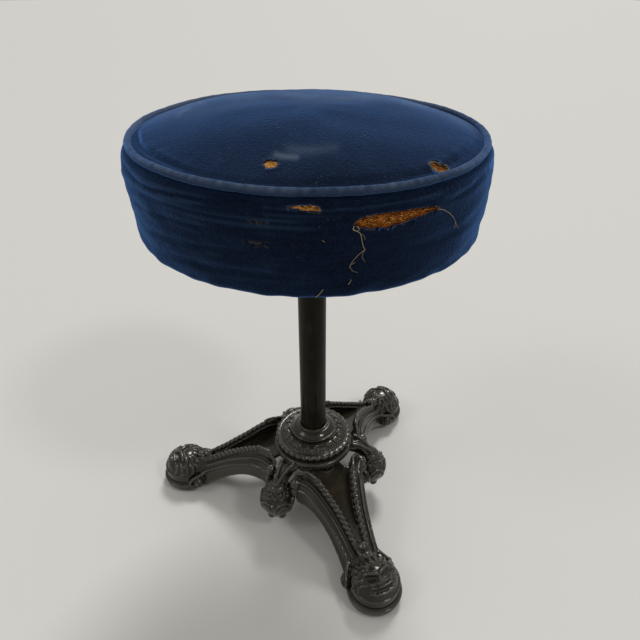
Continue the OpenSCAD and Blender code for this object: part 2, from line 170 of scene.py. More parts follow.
# Legs: three castings from one pattern. Each has two ribs with a rope roll along the crest and
# two fine mouldings on the face, a sunk web, a rosette where the rolls meet, and a foot with a
# lion mask over a plain pad. The leg is carved on its own blank and cast in one skin.
FOOT_AT, RIB_SPREAD, CREST = 185 * MM, 56 * MM, 96 * MM
ROLL_SHARES = [(0.254, 0.72, 0.92), (0.300, 0.57, 0.98), (0.357, 0.48, 0.985),
               (0.432, 0.385, 0.925), (0.541, 0.265, 0.80), (0.622, 0.205, 0.705),
               (0.692, 0.165, 0.615), (0.773, 0.13, 0.525), (0.838, 0.10, 0.47)]
SHOULDER_SHARES = [(0.282, 0.95, 0.735), (0.320, 0.83, 0.75), (0.360, 0.73, 0.755),
                   (0.446, 0.63, 0.74), (0.541, 0.53, 0.66), (0.622, 0.46, 0.585),
                   (0.700, 0.41, 0.50), (0.784, 0.37, 0.40), (0.846, 0.35, 0.33)]
ROPE_PITCH, ROPE_DEPTH, ROPE_LEAN = 7.6 * MM, 1.9 * MM, 0.9
ROPE_FULL, ROPE_REACH = 3.9 * MM, 5.2 * MM
ROPE_STARTS, ROPE_ENDS = (26 * MM, 31 * MM), (112 * MM, 120 * MM)
FACE_BEAD, FACE_BEAD_EXTRA, LOW_BEAD, INNER_BEAD = 1.3, 0.8, 1.3 * MM, 1.1 * MM
CURL_MM = [(149, 15, 36), (153, 20, 33), (159, 24.5, 29.5), (166, 28.5, 27), (172, 31.5, 23),
           (173, 32.5, 18), (169, 33, 14), (164, 33, 14), (161, 33, 17.5), (163, 33.5, 20.5),
           (166, 34, 19)]
# The face moulding turns back round the rope's end: row of the roll, and the step from it
HAIRPIN_MM = [(2, (6, -2.6, 1.2)), (2, (1, 0.6, 3.0)), (1, (0, 0.8, 3.4)), (0, (4, -2, 3.8)),
              (0, (-1, 2.5, 1)), (0, (1, 6.5, -4.5))]
BEAD_THINS, ROPE_LOWEST, ROPE_UNDERSIDE = (30, 40), 40 * MM, -2.5 * MM
KNOB_SHARE, KNOB_Z, ROSETTE_SHARE, ROSETTE_Z = 0.877, 46.5 * MM, 0.822, 52 * MM
PETALS, PETAL_RING = 8, 4.9 * MM
MASK_Z, MASK_R = 20 * MM, 30 * MM
CASTING_VOXEL = 0.9 * MM


def smooth_path(points, steps=8):
    """A curve through some points, with even steps between each two."""
    p = np.array(points, float)
    p = np.vstack([2 * p[0] - p[1], p, 2 * p[-1] - p[-2]])
    rows = []
    for a, b, c, d in zip(p[:-3], p[1:-2], p[2:-1], p[3:]):
        t = np.linspace(0, 1, steps, endpoint=False)[:, None]
        rows.append(0.5 * (2 * b + (c - a) * t + (2 * a - 5 * b + 4 * c - d) * t**2
                           + (3 * b - a - 3 * c + d) * t**3))
    return np.vstack(rows + [p[-2:-1]])


def tube(path, radius, sides=8):
    """A closed round bar along a path; the radius may change along it."""
    path = np.array(path, float)
    radius = np.broadcast_to(np.asarray(radius, float), len(path))
    along = np.gradient(path, axis=0)
    along /= np.linalg.norm(along, axis=1)[:, None]
    side = np.cross(along, (0.123, 0.217, 0.968))
    side /= np.linalg.norm(side, axis=1)[:, None]
    up = np.cross(side, along)
    a = np.linspace(0, 2 * math.pi, sides, endpoint=False)
    ring = (np.cos(a)[None, :, None] * side[:, None] + np.sin(a)[None, :, None] * up[:, None])
    verts = (path[:, None] + radius[:, None, None] * ring).reshape(-1, 3)
    faces = [(i * sides + k, i * sides + (k + 1) % sides, (i + 1) * sides + (k + 1) % sides,
              (i + 1) * sides + k) for i in range(len(path) - 1) for k in range(sides)]
    last = (len(path) - 1) * sides
    faces += [tuple(range(sides))[::-1], tuple(range(last, last + sides))]
    return verts, faces


def lump(centre, sizes_mm, rows=8, sides=12):
    """A closed egg shape, as a pattern maker models a bead, a petal or a boss."""
    lat = np.linspace(0, math.pi, rows + 1)[1:-1]
    lon = np.linspace(0, 2 * math.pi, sides, endpoint=False)
    ring = np.stack([np.outer(np.sin(lat), np.cos(lon)), np.outer(np.sin(lat), np.sin(lon)),
                     np.outer(np.cos(lat), np.ones(sides))], -1).reshape(-1, 3)
    egg = np.vstack([ring, [[0, 0, 1], [0, 0, -1]]]) * (np.array(sizes_mm) * MM)
    faces = [(i * sides + k, (i + 1) * sides + k, (i + 1) * sides + (k + 1) % sides,
              i * sides + (k + 1) % sides) for i in range(rows - 2) for k in range(sides)]
    top, low, base = len(ring), len(ring) + 1, (rows - 2) * sides
    faces += [(top, k, (k + 1) % sides) for k in range(sides)]
    faces += [(low, base + (k + 1) % sides, base + k) for k in range(sides)]
    return egg + np.array(centre), faces


def joined(solids):
    """Several closed shapes as one list of points and faces."""
    verts, faces, start = [], [], 0
    for points, sides in solids:
        verts.append(np.asarray(points, float))
        faces += [tuple(start + v for v in face) for face in sides]
        start += len(points)
    return np.vstack(verts), faces


def new_piece(name, verts, faces):
    """An object with smooth shading from points and faces."""
    mesh = bpy.data.meshes.new(name)
    mesh.from_pydata(np.asarray(verts).tolist(), [], faces)
    mesh.polygons.foreach_set("use_smooth", [True] * len(mesh.polygons))
    mesh.update()
    made = bpy.data.objects.new(name, mesh)
    scene.collection.objects.link(made)
    return made


def cad_solid(node):
    """Points and faces of a CAD node."""
    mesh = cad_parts[node].data
    points = np.zeros(len(mesh.vertices) * 3)
    mesh.vertices.foreach_get("co", points)
    return points.reshape(-1, 3), [tuple(f.vertices) for f in mesh.polygons]


def cast_in_one(name, solids, ease_rounds=3):
    """One skin over overlapping solids with softened hollows, as a sand mould leaves it."""
    blank = new_piece(name, *joined(solids))
    skin = blank.modifiers.new("skin", "REMESH")
    skin.mode = "VOXEL"
    skin.voxel_size = CASTING_VOXEL
    skin.use_smooth_shade = True
    ease = blank.modifiers.new("ease", "SMOOTH")
    ease.factor = 0.5
    ease.iterations = ease_rounds
    shaped = blank.evaluated_get(bpy.context.evaluated_depsgraph_get())
    mesh = bpy.data.meshes.new_from_object(shaped)
    blank.modifiers.clear()
    blank.data = mesh
    return blank


def points_of(piece):
    """The points and outward normals of a piece, as arrays."""
    mesh = piece.data
    points, normals = np.zeros(len(mesh.vertices) * 3), np.zeros(len(mesh.vertices) * 3)
    mesh.vertices.foreach_get("co", points)
    mesh.vertices.foreach_get("normal", normals)
    return points.reshape(-1, 3), normals.reshape(-1, 3)


def move_points(piece, points):
    """Puts changed points back on a piece."""
    piece.data.vertices.foreach_set("co", np.asarray(points, np.float32).ravel())
    piece.data.update()


def mark_points(piece, label, values):
    """Stores a share from 0 to 1 at each point of a piece, for its finish."""
    mark = piece.data.attributes.new(label, "FLOAT", "POINT")
    mark.data.foreach_set("value", np.clip(values, 0, 1).astype(np.float32).ravel())


def mark_edges(piece, rounds=3, gain=9.0):
    """Stores how far each point stands out, for wear on edges and painted shade in hollows."""
    points, normals = points_of(piece)
    pairs = np.zeros(len(piece.data.edges) * 2, int)
    piece.data.edges.foreach_get("vertices", pairs)
    a, b = pairs.reshape(-1, 2).T
    count = np.bincount(a, minlength=len(points)) + np.bincount(b, minlength=len(points))
    count = np.maximum(count, 1)

    def mean_of_neighbours(values):
        total = np.zeros_like(values)
        np.add.at(total, a, values[b])
        np.add.at(total, b, values[a])
        return total / (count[:, None] if values.ndim > 1 else count)

    step = np.linalg.norm(points[a] - points[b], axis=1).mean()
    stands_out = -np.einsum("ij,ij->i", mean_of_neighbours(points) - points, normals) / step
    for _ in range(rounds):
        stands_out = mean_of_neighbours(stands_out)
    mark_points(piece, "edge", 0.5 + gain * stands_out)


def distance_to(points, path):
    """Distance from each point to a path, with the place along it and the way to it."""
    starts, ends = path[:-1], path[1:]
    along = ends - starts
    length = np.linalg.norm(along, axis=1)
    run = np.concatenate([[0], np.cumsum(length)])
    best = np.full(len(points), np.inf)
    place = np.zeros(len(points))
    away = np.zeros_like(points)
    for k in range(len(starts)):
        t = np.clip((points - starts[k]) @ along[k] / max(length[k] ** 2, 1e-12), 0, 1)
        gap = points - (starts[k] + t[:, None] * along[k])
        d = np.linalg.norm(gap, axis=1)
        closer = d < best
        best[closer] = d[closer]
        place[closer] = run[k] + t[closer] * length[k]
        away[closer] = gap[closer]
    return best, place, away


def fade(x, low, high):
    """Rises smoothly from 0 at low to 1 at high."""
    t = np.clip((x - low) / (high - low), 0, 1)
    return t * t * (3 - 2 * t)


def bell(x, width):
    """Falls smoothly from 1 where x is 0."""
    return np.exp(-(x / width) ** 2)


def on_mask(u, v, lift=0.0):
    """A place on the mask's dome: u outward and v sideways, in shares of its radius."""
    w = math.sqrt(max(1 - u * u - v * v, 0.0))
    r = MASK_R + lift
    return (FOOT_AT + u * r, v * r, MASK_Z + w * r)


def mask_bar(places, radius, lift=0.0):
    """A ridge of the mask through some places on its dome."""
    return tube(smooth_path([on_mask(u, v, lift) for u, v in places], 6), radius)


def both_sides(places):
    """Some places on the mask and their mirror images."""
    return places, [(u, -v) for u, v in places]


def leg_rows(shares):
    """Places along a leg in metres, from shares of the foot's place, the spread and the crest."""
    return np.array(shares) * (FOOT_AT, RIB_SPREAD, CREST)


def metres(*sizes_mm):
    """Millimetres as an array of metres."""
    return np.array(sizes_mm) * MM


carving = []
roll, shoulder = leg_rows(ROLL_SHARES), leg_rows(SHOULDER_SHARES)
face_line = roll * 0.42 + shoulder * 0.58 + metres(0, 1.2, 1.8)
nose = (roll[0] + shoulder[0]) / 2 + metres(1.5, 0.5, -1.5)
hairpin = [roll[k] + metres(*step) for k, step in HAIRPIN_MM]
hairpin.append(face_line[1] + metres(-4, 3, 0.5))
inner_line = roll + metres(0, -4.2, -5.0)
for side in (1, -1):
    # The rounded end of the rib, its mouldings and beads, and a curled leaf over the foot's lobe
    flip = np.array([1, side, 1])
    bead_line = smooth_path(np.vstack([hairpin, face_line[2:]]), 6) * flip
    fuller = 1 - fade(np.arange(len(bead_line)), *BEAD_THINS)
    curl = smooth_path(metres(*CURL_MM), 5) * flip
    carving += [lump(nose * flip, (7.5, 8.0, 9.0)),
                lump((nose + metres(2, 2, -9)) * flip, (6.5, 6.5, 9.0)),
                tube(bead_line, (FACE_BEAD + FACE_BEAD_EXTRA * fuller) * MM),
                tube(smooth_path(shoulder + metres(0, 0.4, 0.4), 6) * flip, LOW_BEAD),
                tube(smooth_path(inner_line[1:-1], 6) * flip, INNER_BEAD),
                tube(curl, np.linspace(2.4, 1.5, len(curl)) * MM)]

# Knob and rosette between the ropes' ends: a boss in a ring of petals
carving.append(lump((KNOB_SHARE * FOOT_AT, 0, KNOB_Z), (6.2, 6.0, 4.6)))
rosette = np.array((ROSETTE_SHARE * FOOT_AT, 0, ROSETTE_Z))
carving.append(lump(rosette + metres(0, 0, 0.5), (3.4, 3.4, 4.2)))
for k in range(PETALS):
    a = k * 2 * math.pi / PETALS
    carving.append(lump(rosette + PETAL_RING * np.array((math.cos(a), math.sin(a), 0.1)),
                        (1.7, 1.7, 1.9)))

# Lion mask, which looks outward: brows over sunk eyes, a moustache, lips and chin in arcs, a
# broad nose, small ears, the border of the face, and a mane of locks swept back to the neck.
# Ridges of each half: places on the mask's dome, radius and lift in millimetres
MASK_RIDGES = [
    ([(0.22, 0.04), (0.16, 0.15), (0.09, 0.28), (0.02, 0.40), (-0.02, 0.52)], 2.6, 0.9),
    ([(0.52, 0.0), (0.505, 0.14), (0.48, 0.26), (0.44, 0.38), (0.38, 0.48)], 1.9, 0.7),
    ([(0.645, 0.0), (0.635, 0.14), (0.60, 0.30), (0.52, 0.44)], 1.7, 0.6),
    ([(0.82, 0.0), (0.795, 0.18), (0.73, 0.38), (0.62, 0.53)], 1.9, 0.4),
]
for places, radius, lift in MASK_RIDGES:
    for way in both_sides(places):
        carving.append(mask_bar(way, radius * MM, lift * MM))
carving.append(tube([on_mask(u, 0, 0.5 * MM) for u in (0.16, 0.26, 0.36, 0.46)],
                    metres(1.7, 1.9, 2.4, 3.2)))
for v in (0.84, -0.84):
    ear = [(-0.06 + 0.11 * math.cos(t), v * (1 - 0.10 * math.sin(t)))
           for t in np.linspace(0, 5.2, 8)]
    carving.append(mask_bar(ear, 1.4 * MM, 0.5 * MM))
RING_SHARE = 0.962
ring_arc = [(RING_SHARE * math.cos(a), RING_SHARE * math.sin(a))
            for a in np.radians(np.linspace(-96, 96, 17))]
carving.append(mask_bar(ring_arc, 1.5 * MM, 0.7 * MM))
# Rows of locks: share at the root and the tip, first and last angle, count, radius
MANE_ROWS = [(0.70, 0.94, 66, 150, 6, 2.3), (0.34, 0.68, 104, 168, 4, 2.2)]
for root, tip, first, last, count, radius in MANE_ROWS:
    for k, a in enumerate(np.radians(np.linspace(first, last, count))):
        reaches = np.linspace(root, tip, 5)
        sweep = a + np.array((0, 0.10, 0.16, 0.16, 0.06)) + 0.04 * (k % 2)
        lock = [(r * math.cos(t), r * math.sin(t)) for r, t in zip(reaches, sweep)]
        taper = np.concatenate([np.linspace(0.7, 1.0, 12), np.linspace(1.0, 0.5, 13)])
        for way in both_sides(lock):
            carving.append(mask_bar(way, radius * taper * MM, 0.3 * MM))

# Hollows of the mask: place on its dome, width and depth in millimetres
HOLLOWS = [((0.34, 0.14), 2.0, 1.1), ((0.29, 0.24), 2.4, 1.7), ((0.24, 0.35), 2.6, 2.0),
           ((0.20, 0.47), 2.8, 2.0), ((0.22, 0.60), 2.6, 1.5), ((0.73, 0.0), 2.6, 1.4),
           ((0.72, 0.15), 2.4, 1.3), ((0.67, 0.30), 2.2, 1.2), ((0.585, 0.08), 1.5, 1.0),
           ((0.57, 0.20), 1.5, 1.0), ((0.53, 0.32), 1.5, 0.9), ((-0.06, 0.84), 1.6, 1.2)]


def carve_leg(piece):
    """Twists the rolls into ropes and sinks the mask's hollows."""
    points, normals = points_of(piece)
    local = np.stack([-points[:, 1], points[:, 0], points[:, 2]], -1)
    folded = local.copy()
    folded[:, 1] = np.abs(local[:, 1])
    path = smooth_path(roll, 8)
    near = (local[:, 0] < FOOT_AT) & (local[:, 2] > ROPE_LOWEST)
    gap, place, away = distance_to(folded[near], path)
    lean = np.arctan2(away[:, 1], away[:, 2])
    strand = np.abs(np.cos(math.pi * place / ROPE_PITCH + ROPE_LEAN * lean)) ** 0.6 - 0.6
    window = (1 - fade(gap, ROPE_FULL, ROPE_REACH)) * fade(place, *ROPE_STARTS)
    window *= 1 - fade(place, *ROPE_ENDS)
    outward = away[:, 2] > ROPE_UNDERSIDE
    push = np.zeros(len(points))
    push[near] = ROPE_DEPTH * strand * window * outward
    for (u, v), width, depth in HOLLOWS:
        for side in (1, -1):
            d = np.linalg.norm(local - np.array(on_mask(u, side * v)), axis=1)
            # A hollow on the middle line is met twice
            share = 1.0 if v else 0.5
            push -= share * depth * MM * bell(d, width * MM)
    move_points(piece, points + push[:, None] * normals)


to_world = np.array([(0, -1, 0), (1, 0, 0), (0, 0, 1)], float)
leg = cast_in_one("leg_front_casting", [cad_solid("leg_front")]
                  + [(points @ to_world, faces) for points, faces in carving])
carve_leg(leg)
mark_edges(leg)


def effect(name, given, kind, value, outputs):
    """An empty node group with one named input and several named values as outputs."""
    group = bpy.data.node_groups.new(name, "ShaderNodeTree")
    socket = group.interface.new_socket(name=given, in_out="INPUT", socket_type=kind)
    socket.default_value = value
    for label in outputs:
        group.interface.new_socket(name=label, in_out="OUTPUT", socket_type="NodeSocketFloat")
    source, result = group.nodes.new("NodeGroupInput"), group.nodes.new("NodeGroupOutput")
    return group, Signal(source, given), result


def use(tree, group, **inputs):
    """The signals that a group of effects gives in a tree, by their names."""
    node = add(tree, "ShaderNodeGroup", {"node_tree": group}, **inputs)
    return {socket.name: Signal(node, socket.name) for socket in node.outputs}


def ramp(value, low, high, kind="SMOOTHSTEP"):
    """A value stretched so that low becomes 0 and high becomes 1."""
    return Signal(add(value.tree, "ShaderNodeMapRange", {"interpolation_type": kind},
                      Value=value, From_Min=low, From_Max=high), "Result")


def mixed(share, one, other):
    """Two colours mixed by a share."""
    return Signal(add(share.tree, "ShaderNodeMix", {"data_type": "RGBA"},
                      i0=share, i6=one, i7=other), 2)


def object_place(tree, stretch=(1, 1, 1)):
    """The place on the object, stretched along its axes."""
    place = Signal(add(tree, "ShaderNodeTexCoord"), "Object")
    return Signal(add(tree, "ShaderNodeMapping", Vector=place, Scale=stretch), 0)


def noise(place, scale, detail, **more):
    """Cloudy noise from 0 to 1."""
    return Signal(add(place.tree, "ShaderNodeTexNoise", Vector=place, Scale=scale, Detail=detail,
                      **more), 0)


def cells(place, scale):
    """Distance from the middle of scattered cells."""
    return Signal(add(place.tree, "ShaderNodeTexVoronoi", Vector=place, Scale=scale), "Distance")


def stored(tree, label):
    """A share that is stored at a piece's points."""
    return Signal(add(tree, "ShaderNodeAttribute", {"attribute_name": label}), "Fac")


def bumped(strength, depth, height):
    """A normal that follows a height."""
    return Signal(add(height.tree, "ShaderNodeBump", Strength=strength, Distance=depth,
                      Height=height), "Normal")


# Old casting skin: sand grain, shallow lumps and pits, and cloudy patches where polish and
# dust lie unevenly.
casting_skin, sand_grain, skin_out = effect("casting_skin", "Grain", "NodeSocketFloat", 1.0,
                                            ("Height", "Patches", "Fine"))
place = object_place(casting_skin)
sand, lumps = noise(place, 650.0, 4.0), noise(place, 120.0, 3.0)
clouds = noise(place, 28.0, 5.0, Roughness=0.6)
pits = ramp(cells(place, 240.0), 0.0, 0.22)
wire(skin_out, Height=(0.35 * sand + 0.9 * lumps + 0.5 * pits) * sand_grain,
     Patches=ramp(clouds, 0.40, 0.64), Fine=sand)

OLD_DUST = (0.070, 0.064, 0.046, 1)
BROWNED = (0.0125, 0.0085, 0.0050, 1)
IRON_GLOSS, IRON_GLOSS_TINT = 0.54, (1.0, 0.96, 0.86, 1)


def iron_finish(name, enamel, worn, hollow_shade, rough, marked):
    """Old dark enamel on cast iron, rubbed on edges, hollows duller and painted darker as shade."""
    finish, tree, shader = new_material(name, Specular_IOR_Level=IRON_GLOSS,
                                        Specular_Tint=IRON_GLOSS_TINT)
    skin = use(tree, casting_skin, Grain=1.0)
    patches, fine = skin["Patches"], skin["Fine"]
    normal = Signal(add(tree, "ShaderNodeTexCoord"), "Normal")
    faces_up = Signal(add(tree, "ShaderNodeSeparateXYZ", Vector=normal), "Z")
    settled = ramp(faces_up, 0.70, 1.0) * (0.35 + 0.65 * patches)
    tone = mixed(0.7 * patches, enamel, BROWNED)
    tone = mixed(0.5 * settled, tone, OLD_DUST)
    if marked:
        edge = stored(tree, "edge")
        rubbed = ramp(edge, 0.58, 0.95) * ramp(fine, 0.3, 0.6)
        # The hollows are painted darker as shade, and their gloss is duller
        sunk = ramp(edge, 0.46, 0.12)
        tone = mixed(0.85 * sunk, tone, hollow_shade)
        tone = mixed(0.75 * rubbed, tone, worn)
        dull = 0.30 * sunk
    else:
        dull = 0.1 * patches
    wire(shader, Base_Color=tone, Roughness=rough + dull + 0.12 * fine,
         Normal=bumped(0.35, 0.0006, skin["Height"]))
    return finish


IRON_ENAMEL = (0.0072, 0.0066, 0.0048, 1)
IRON_WORN = (0.075, 0.071, 0.062, 1)
# The hollow tone is painted shade for the casting's recesses
IRON_HOLLOW_SHADE = (0.0060, 0.0052, 0.0036, 1)
base_iron = iron_finish("base_iron", IRON_ENAMEL, IRON_WORN, IRON_HOLLOW_SHADE, 0.09, True)


def dress(piece, finish, body, slot_name, *nodes):
    """Gives a piece its finish and its body, and hides the CAD nodes that it stands for."""
    piece.data.materials.clear()
    piece.data.materials.append(finish)
    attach(piece, body)
    if nodes:
        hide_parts(*nodes)


dress(leg, base_iron, "base", "base_iron", "leg_front")
for name, turn in (("leg_right", 120), ("leg_left", 240)):
    twin = bpy.data.objects.new(name + "_casting", leg.data.copy())
    scene.collection.objects.link(twin)
    twin.data.transform(Matrix.Rotation(math.radians(turn), 4, "Z"))
    dress(twin, base_iron, "base", "base_iron", name)

# Hub: the middle casting, with a plain rim, three reeded arms and a round pendant on each. A
# leaf collar hangs over each pendant's shoulder and a curled leaf covers its underside.
PENDANT_AT, PENDANT_DIRECTIONS = 79 * MM, (-30, 90, 210)
PENDANT_HEIGHTS = (24, 24.7, 27.9, 34.6, 44.2, 50.3, 58.2, 65.4, 70.5, 72.7, 75.5)
PENDANT_RADII = (0, 4.95, 11.7, 18.0, 21.8, 22.5, 20.7, 16.65, 11.7, 12.6, 11.25)
LEAVES = 6
# Each leaf's ridges: angle across the leaf and height in millimetres, lift, and thickness
LEAF_EDGE = ([(-29, 52), (-18, 57.0), (0, 59.2), (18, 57.0), (29, 52)], 0.9, 1.7)
LEAF_FOLD = ([(-22, 48.5), (-10, 52.2), (4, 53.0), (18, 50.5)], 0.5, 1.2)
LEAF_POINT = ([(-26, 71.5), (-14, 67.0), (0, 63.6), (14, 67.0), (26, 71.5)], 0.7, 1.2)
LEAF_STEM = ([(30, 54.5), (30, 49), (30, 42), (30, 33)], 0.6, np.linspace(1.9, 1.0, 13))
# Each leaf's lumps: angle, height and lift, and sizes
LEAF_LUMPS = [((0, 32, -2.6), (6.0, 6.0, 6.5)), ((0, 69.0, 0.8), (2.5, 2.5, 2.3)),
              ((30, 66.0, 0.9), (2.7, 2.7, 2.6))]
STRAP_MM, STRAP_R = [(86.5, 1.3, 71.5), (83, 1.8, 77.0), (77, 3.0, 82.5), (70, 4.6, 89.0),
                     (62, 7.0, 95.0), (54, 9.0, 96.4)], 2.5 * MM


def on_pendant(angle, height, lift=0.0):
    """A place on a pendant's body, at a height in millimetres and an angle round it."""
    a = math.radians(angle)
    radius = (np.interp(height, PENDANT_HEIGHTS, PENDANT_RADII) + lift) * MM
    return np.array((PENDANT_AT + radius * math.cos(a), radius * math.sin(a), height * MM))


leaves = []
for a in (360 / LEAVES * k for k in range(LEAVES)):
    # A cupped leaf from below: its rolled edge, a second roll under that, and the stem beside
    # it. Over it hangs a pointed leaf, with a berry on it and one in the notch.
    for (places, lift, radius), steps in ((LEAF_EDGE, 5), (LEAF_FOLD, 5), (LEAF_STEM, 4),
                                          (LEAF_POINT, 5)):
        ridge = [on_pendant(a + t, h, lift) for t, h in places]
        leaves.append(tube(smooth_path(ridge, steps), radius * MM))
    leaves += [lump(on_pendant(a + t, h, lift), sizes) for (t, h, lift), sizes in LEAF_LUMPS]
leaves.append(lump(on_pendant(0, 24.5), (5.0, 5.0, 2.2)))
# The strap on each arm: two rolled edges that part from a point over the pendant's neck
for side in (1, -1):
    leaves.append(tube(smooth_path(metres(*STRAP_MM) * (1, side, 1), 6), STRAP_R))

hub_solids = [cad_solid("hub")]
for direction in PENDANT_DIRECTIONS:
    turn = np.array(Matrix.Rotation(math.radians(direction), 3, "Z"))
    hub_solids += [(points @ turn.T, faces) for points, faces in leaves]
hub = cast_in_one("hub_casting", hub_solids, 2)
mark_edges(hub)
dress(hub, base_iron, "base", "base_iron", "hub")

# Collar: a loose cast cap over the nut, turned and chased. A dome stands round the column, a
# band of beads and petals slopes down from it, and a gadrooned rim ends it over an undercut.
COLLAR_SHARES = [(0.835, 0.00), (0.87, 0.005), (0.87, 0.15), (0.93, 0.16), (0.985, 0.20),
                 (1.0, 0.27), (0.985, 0.34), (0.93, 0.385), (0.885, 0.375), (0.86, 0.43),
                 (0.80, 0.52), (0.74, 0.585), (0.68, 0.615), (0.645, 0.59), (0.620, 0.575),
                 (0.612, 0.60), (0.612, 0.68), (0.606, 0.725), (0.588, 0.745), (0.570, 0.735),
                 (0.555, 0.755), (0.52, 0.82), (0.47, 0.885), (0.43, 0.925), (0.405, 0.93),
                 (0.398, 0.965), (0.380, 1.0), (0.345, 1.0)]
GADROONS, BEADS, RIPPLES, COLLAR_ROUND = 34, 19, 61, 720
GADROON_H, BAND_H = 1.5 * MM, 2.0 * MM
BEAD_SHARE, BEAD_W, BEAD_L = 0.735, 1.9 * MM, 2.9 * MM


def wrap_rows(rows, count):
    """Faces of a grid whose rows run round the axis."""
    around = np.arange(count)
    after = (around + 1) % count
    faces = []
    for i in range(rows - 1):
        a, b = i * count, (i + 1) * count
        faces += list(zip((a + around).tolist(), (a + after).tolist(), (b + after).tolist(),
                          (b + around).tolist()))
    return faces


def ring_grid(radii, heights, count):
    """Points of a turned surface, one ring for each radius and height."""
    a = np.linspace(0, 2 * math.pi, count, endpoint=False)
    return np.stack([np.outer(radii, np.cos(a)), np.outer(radii, np.sin(a)),
                     np.outer(heights, np.ones(count))], -1), a


def turned_piece(name, grid):
    """A piece whose surface is a grid that runs round the axis."""
    return new_piece(name, grid.reshape(-1, 3), wrap_rows(*grid.shape[:2]))


def grid_normals(grid):
    """Outward normals of a turned surface whose rings run from low to high or out to in."""
    around = np.roll(grid, -1, 1) - np.roll(grid, 1, 1)
    along = np.gradient(grid, axis=0)
    normal = np.cross(around, along)
    return normal / np.maximum(np.linalg.norm(normal, axis=-1, keepdims=True), 1e-12)


collar_low, collar_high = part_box("collar")
collar_h = collar_high.z - collar_low.z
profile_out, profile_up = (smooth_path(COLLAR_SHARES, 5) * (collar_high.x, collar_h)).T
collar_grid, a = ring_grid(profile_out, collar_low.z + profile_up, COLLAR_ROUND)
share_up, share_out = profile_up / collar_h, profile_out / collar_high.x
rim = fade(share_up, 0.15, 0.2) * (1 - fade(share_up, 0.36, 0.40)) * fade(share_out, 0.9, 0.96)
band = fade(share_out, 0.635, 0.66) * (1 - fade(share_out, 0.85, 0.88))
uneven = 0.035 * np.sin(3 * a + 1) + 0.05 * np.sin(7 * a + 2)
gadroon = np.abs(np.cos((GADROONS * a + 6 * uneven) / 2)) ** 0.7 - 0.75
bead_turn = (BEADS * a / (2 * math.pi) + 3 * uneven) % 1 - 0.5
bead_across = bead_turn[None, :] * 2 * math.pi * BEAD_SHARE * collar_high.x / BEADS
bead_along = (profile_out - BEAD_SHARE * collar_high.x)[:, None]
bead = np.sqrt(np.maximum(1 - (bead_across / BEAD_W) ** 2 - (bead_along / BEAD_L) ** 2, 0))
petal = np.abs(np.cos(math.pi * bead_turn))[None, :] ** 4
petal = petal * (1 - fade(share_out, 0.76, 0.85))[:, None]
ripple = 0.25 * np.sin(RIPPLES * a)[None, :] * np.sin(np.pi * (share_out - 0.77) / 0.10)[:, None]
ripple = ripple * fade(share_out, 0.77, 0.80)[:, None]
relief = GADROON_H * np.outer(rim, gadroon)
relief = relief + BAND_H * band[:, None] * (bead + 0.3 * petal + ripple - 0.30)
collar = turned_piece("collar_casting", collar_grid + relief[..., None] * grid_normals(collar_grid))
mark_edges(collar, 2, 7.0)
dress(collar, base_iron, "base", "base_iron", "collar")

# Column: a length of gas pipe, painted dark brown-black and rubbed smooth, with faint drawn
# lines along it. It is threaded into two nuts that clamp the hub.
COLUMN_BROWN = (0.0065, 0.0055, 0.0028, 1)
COLUMN_RUBBED = (0.018, 0.015, 0.009, 1)


def drawn_finish(name, tone, rubbed, rough, metallic, long_marks, gloss=0.5):
    """Drawn or turned metal with fine marks along it and rubbed patches."""
    finish, tree, shader = new_material(name, Metallic=metallic, Specular_IOR_Level=gloss)
    marks = noise(object_place(tree, long_marks), 1.0, 3.0)
    skin = use(tree, casting_skin, Grain=0.4)
    patch = skin["Patches"] * ramp(marks, 0.35, 0.65)
    wire(shader, Base_Color=mixed(patch, tone, rubbed), Roughness=rough + 0.15 * marks,
         Normal=bumped(0.2, 0.0003, 0.5 * marks + skin["Height"]))
    return finish


ALONG_Z, ROUND_Z = (700, 700, 25), (60, 60, 900)
column_paint = drawn_finish("column_paint", COLUMN_BROWN, COLUMN_RUBBED, 0.28, 0.0, ALONG_Z, 0.10)
COLUMN_ROUND, COLUMN_ROWS, PIPE_WALL, PIPE_EDGE = 96, 60, 3 * MM, 0.8 * MM
column_low, column_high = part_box("column")
up = np.linspace(column_low.z + PIPE_EDGE, column_high.z - PIPE_EDGE, COLUMN_ROWS)
column_r = column_high.x
pipe = [(column_r - PIPE_WALL, column_low.z), (column_r - PIPE_EDGE, column_low.z)]
pipe += [(column_r, z) for z in up]
pipe += [(column_r - PIPE_EDGE, column_high.z), (column_r - PIPE_WALL, column_high.z)]
pipe += [(column_r - PIPE_WALL, z) for z in up[::-10]] + [pipe[0]]
column = turned_piece("column_pipe", ring_grid(*np.array(pipe).T, COLUMN_ROUND)[0])
dress(column, column_paint, "base", "column_paint", "column")

# Small steel and iron parts that hold the stool together: bolts, nuts, washers, pins, bush,
# seat plate and wood screws keep their own shapes and take old oiled finishes.
DARK_STEEL, DARK_STEEL_RUBBED = (0.055, 0.050, 0.043, 1), (0.11, 0.095, 0.075, 1)
SCREW_STEEL, SCREW_STEEL_RUBBED = (0.17, 0.155, 0.135, 1), (0.26, 0.24, 0.21, 1)
BUSH_IRON, BUSH_IRON_RUBBED = (0.045, 0.039, 0.030, 1), (0.09, 0.075, 0.055, 1)
PLATE_ENAMEL = (0.026, 0.024, 0.021, 1)
dark_steel = drawn_finish("dark_steel", DARK_STEEL, DARK_STEEL_RUBBED, 0.42, 0.7, ROUND_Z)
screw_steel = drawn_finish("screw_steel", SCREW_STEEL, SCREW_STEEL_RUBBED, 0.32, 0.9, ROUND_Z)
bush_iron = drawn_finish("bush_iron", BUSH_IRON, BUSH_IRON_RUBBED, 0.40, 0.3, ROUND_Z)
plate_iron = iron_finish("plate_iron", PLATE_ENAMEL, IRON_WORN, IRON_HOLLOW_SHADE, 0.45, False)


def finish_solids(finish, *nodes):
    """Gives a finish to CAD solids that keep their own shape."""
    for node in nodes:
        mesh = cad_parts[node].data
        mesh.materials.clear()
        mesh.materials.append(finish)


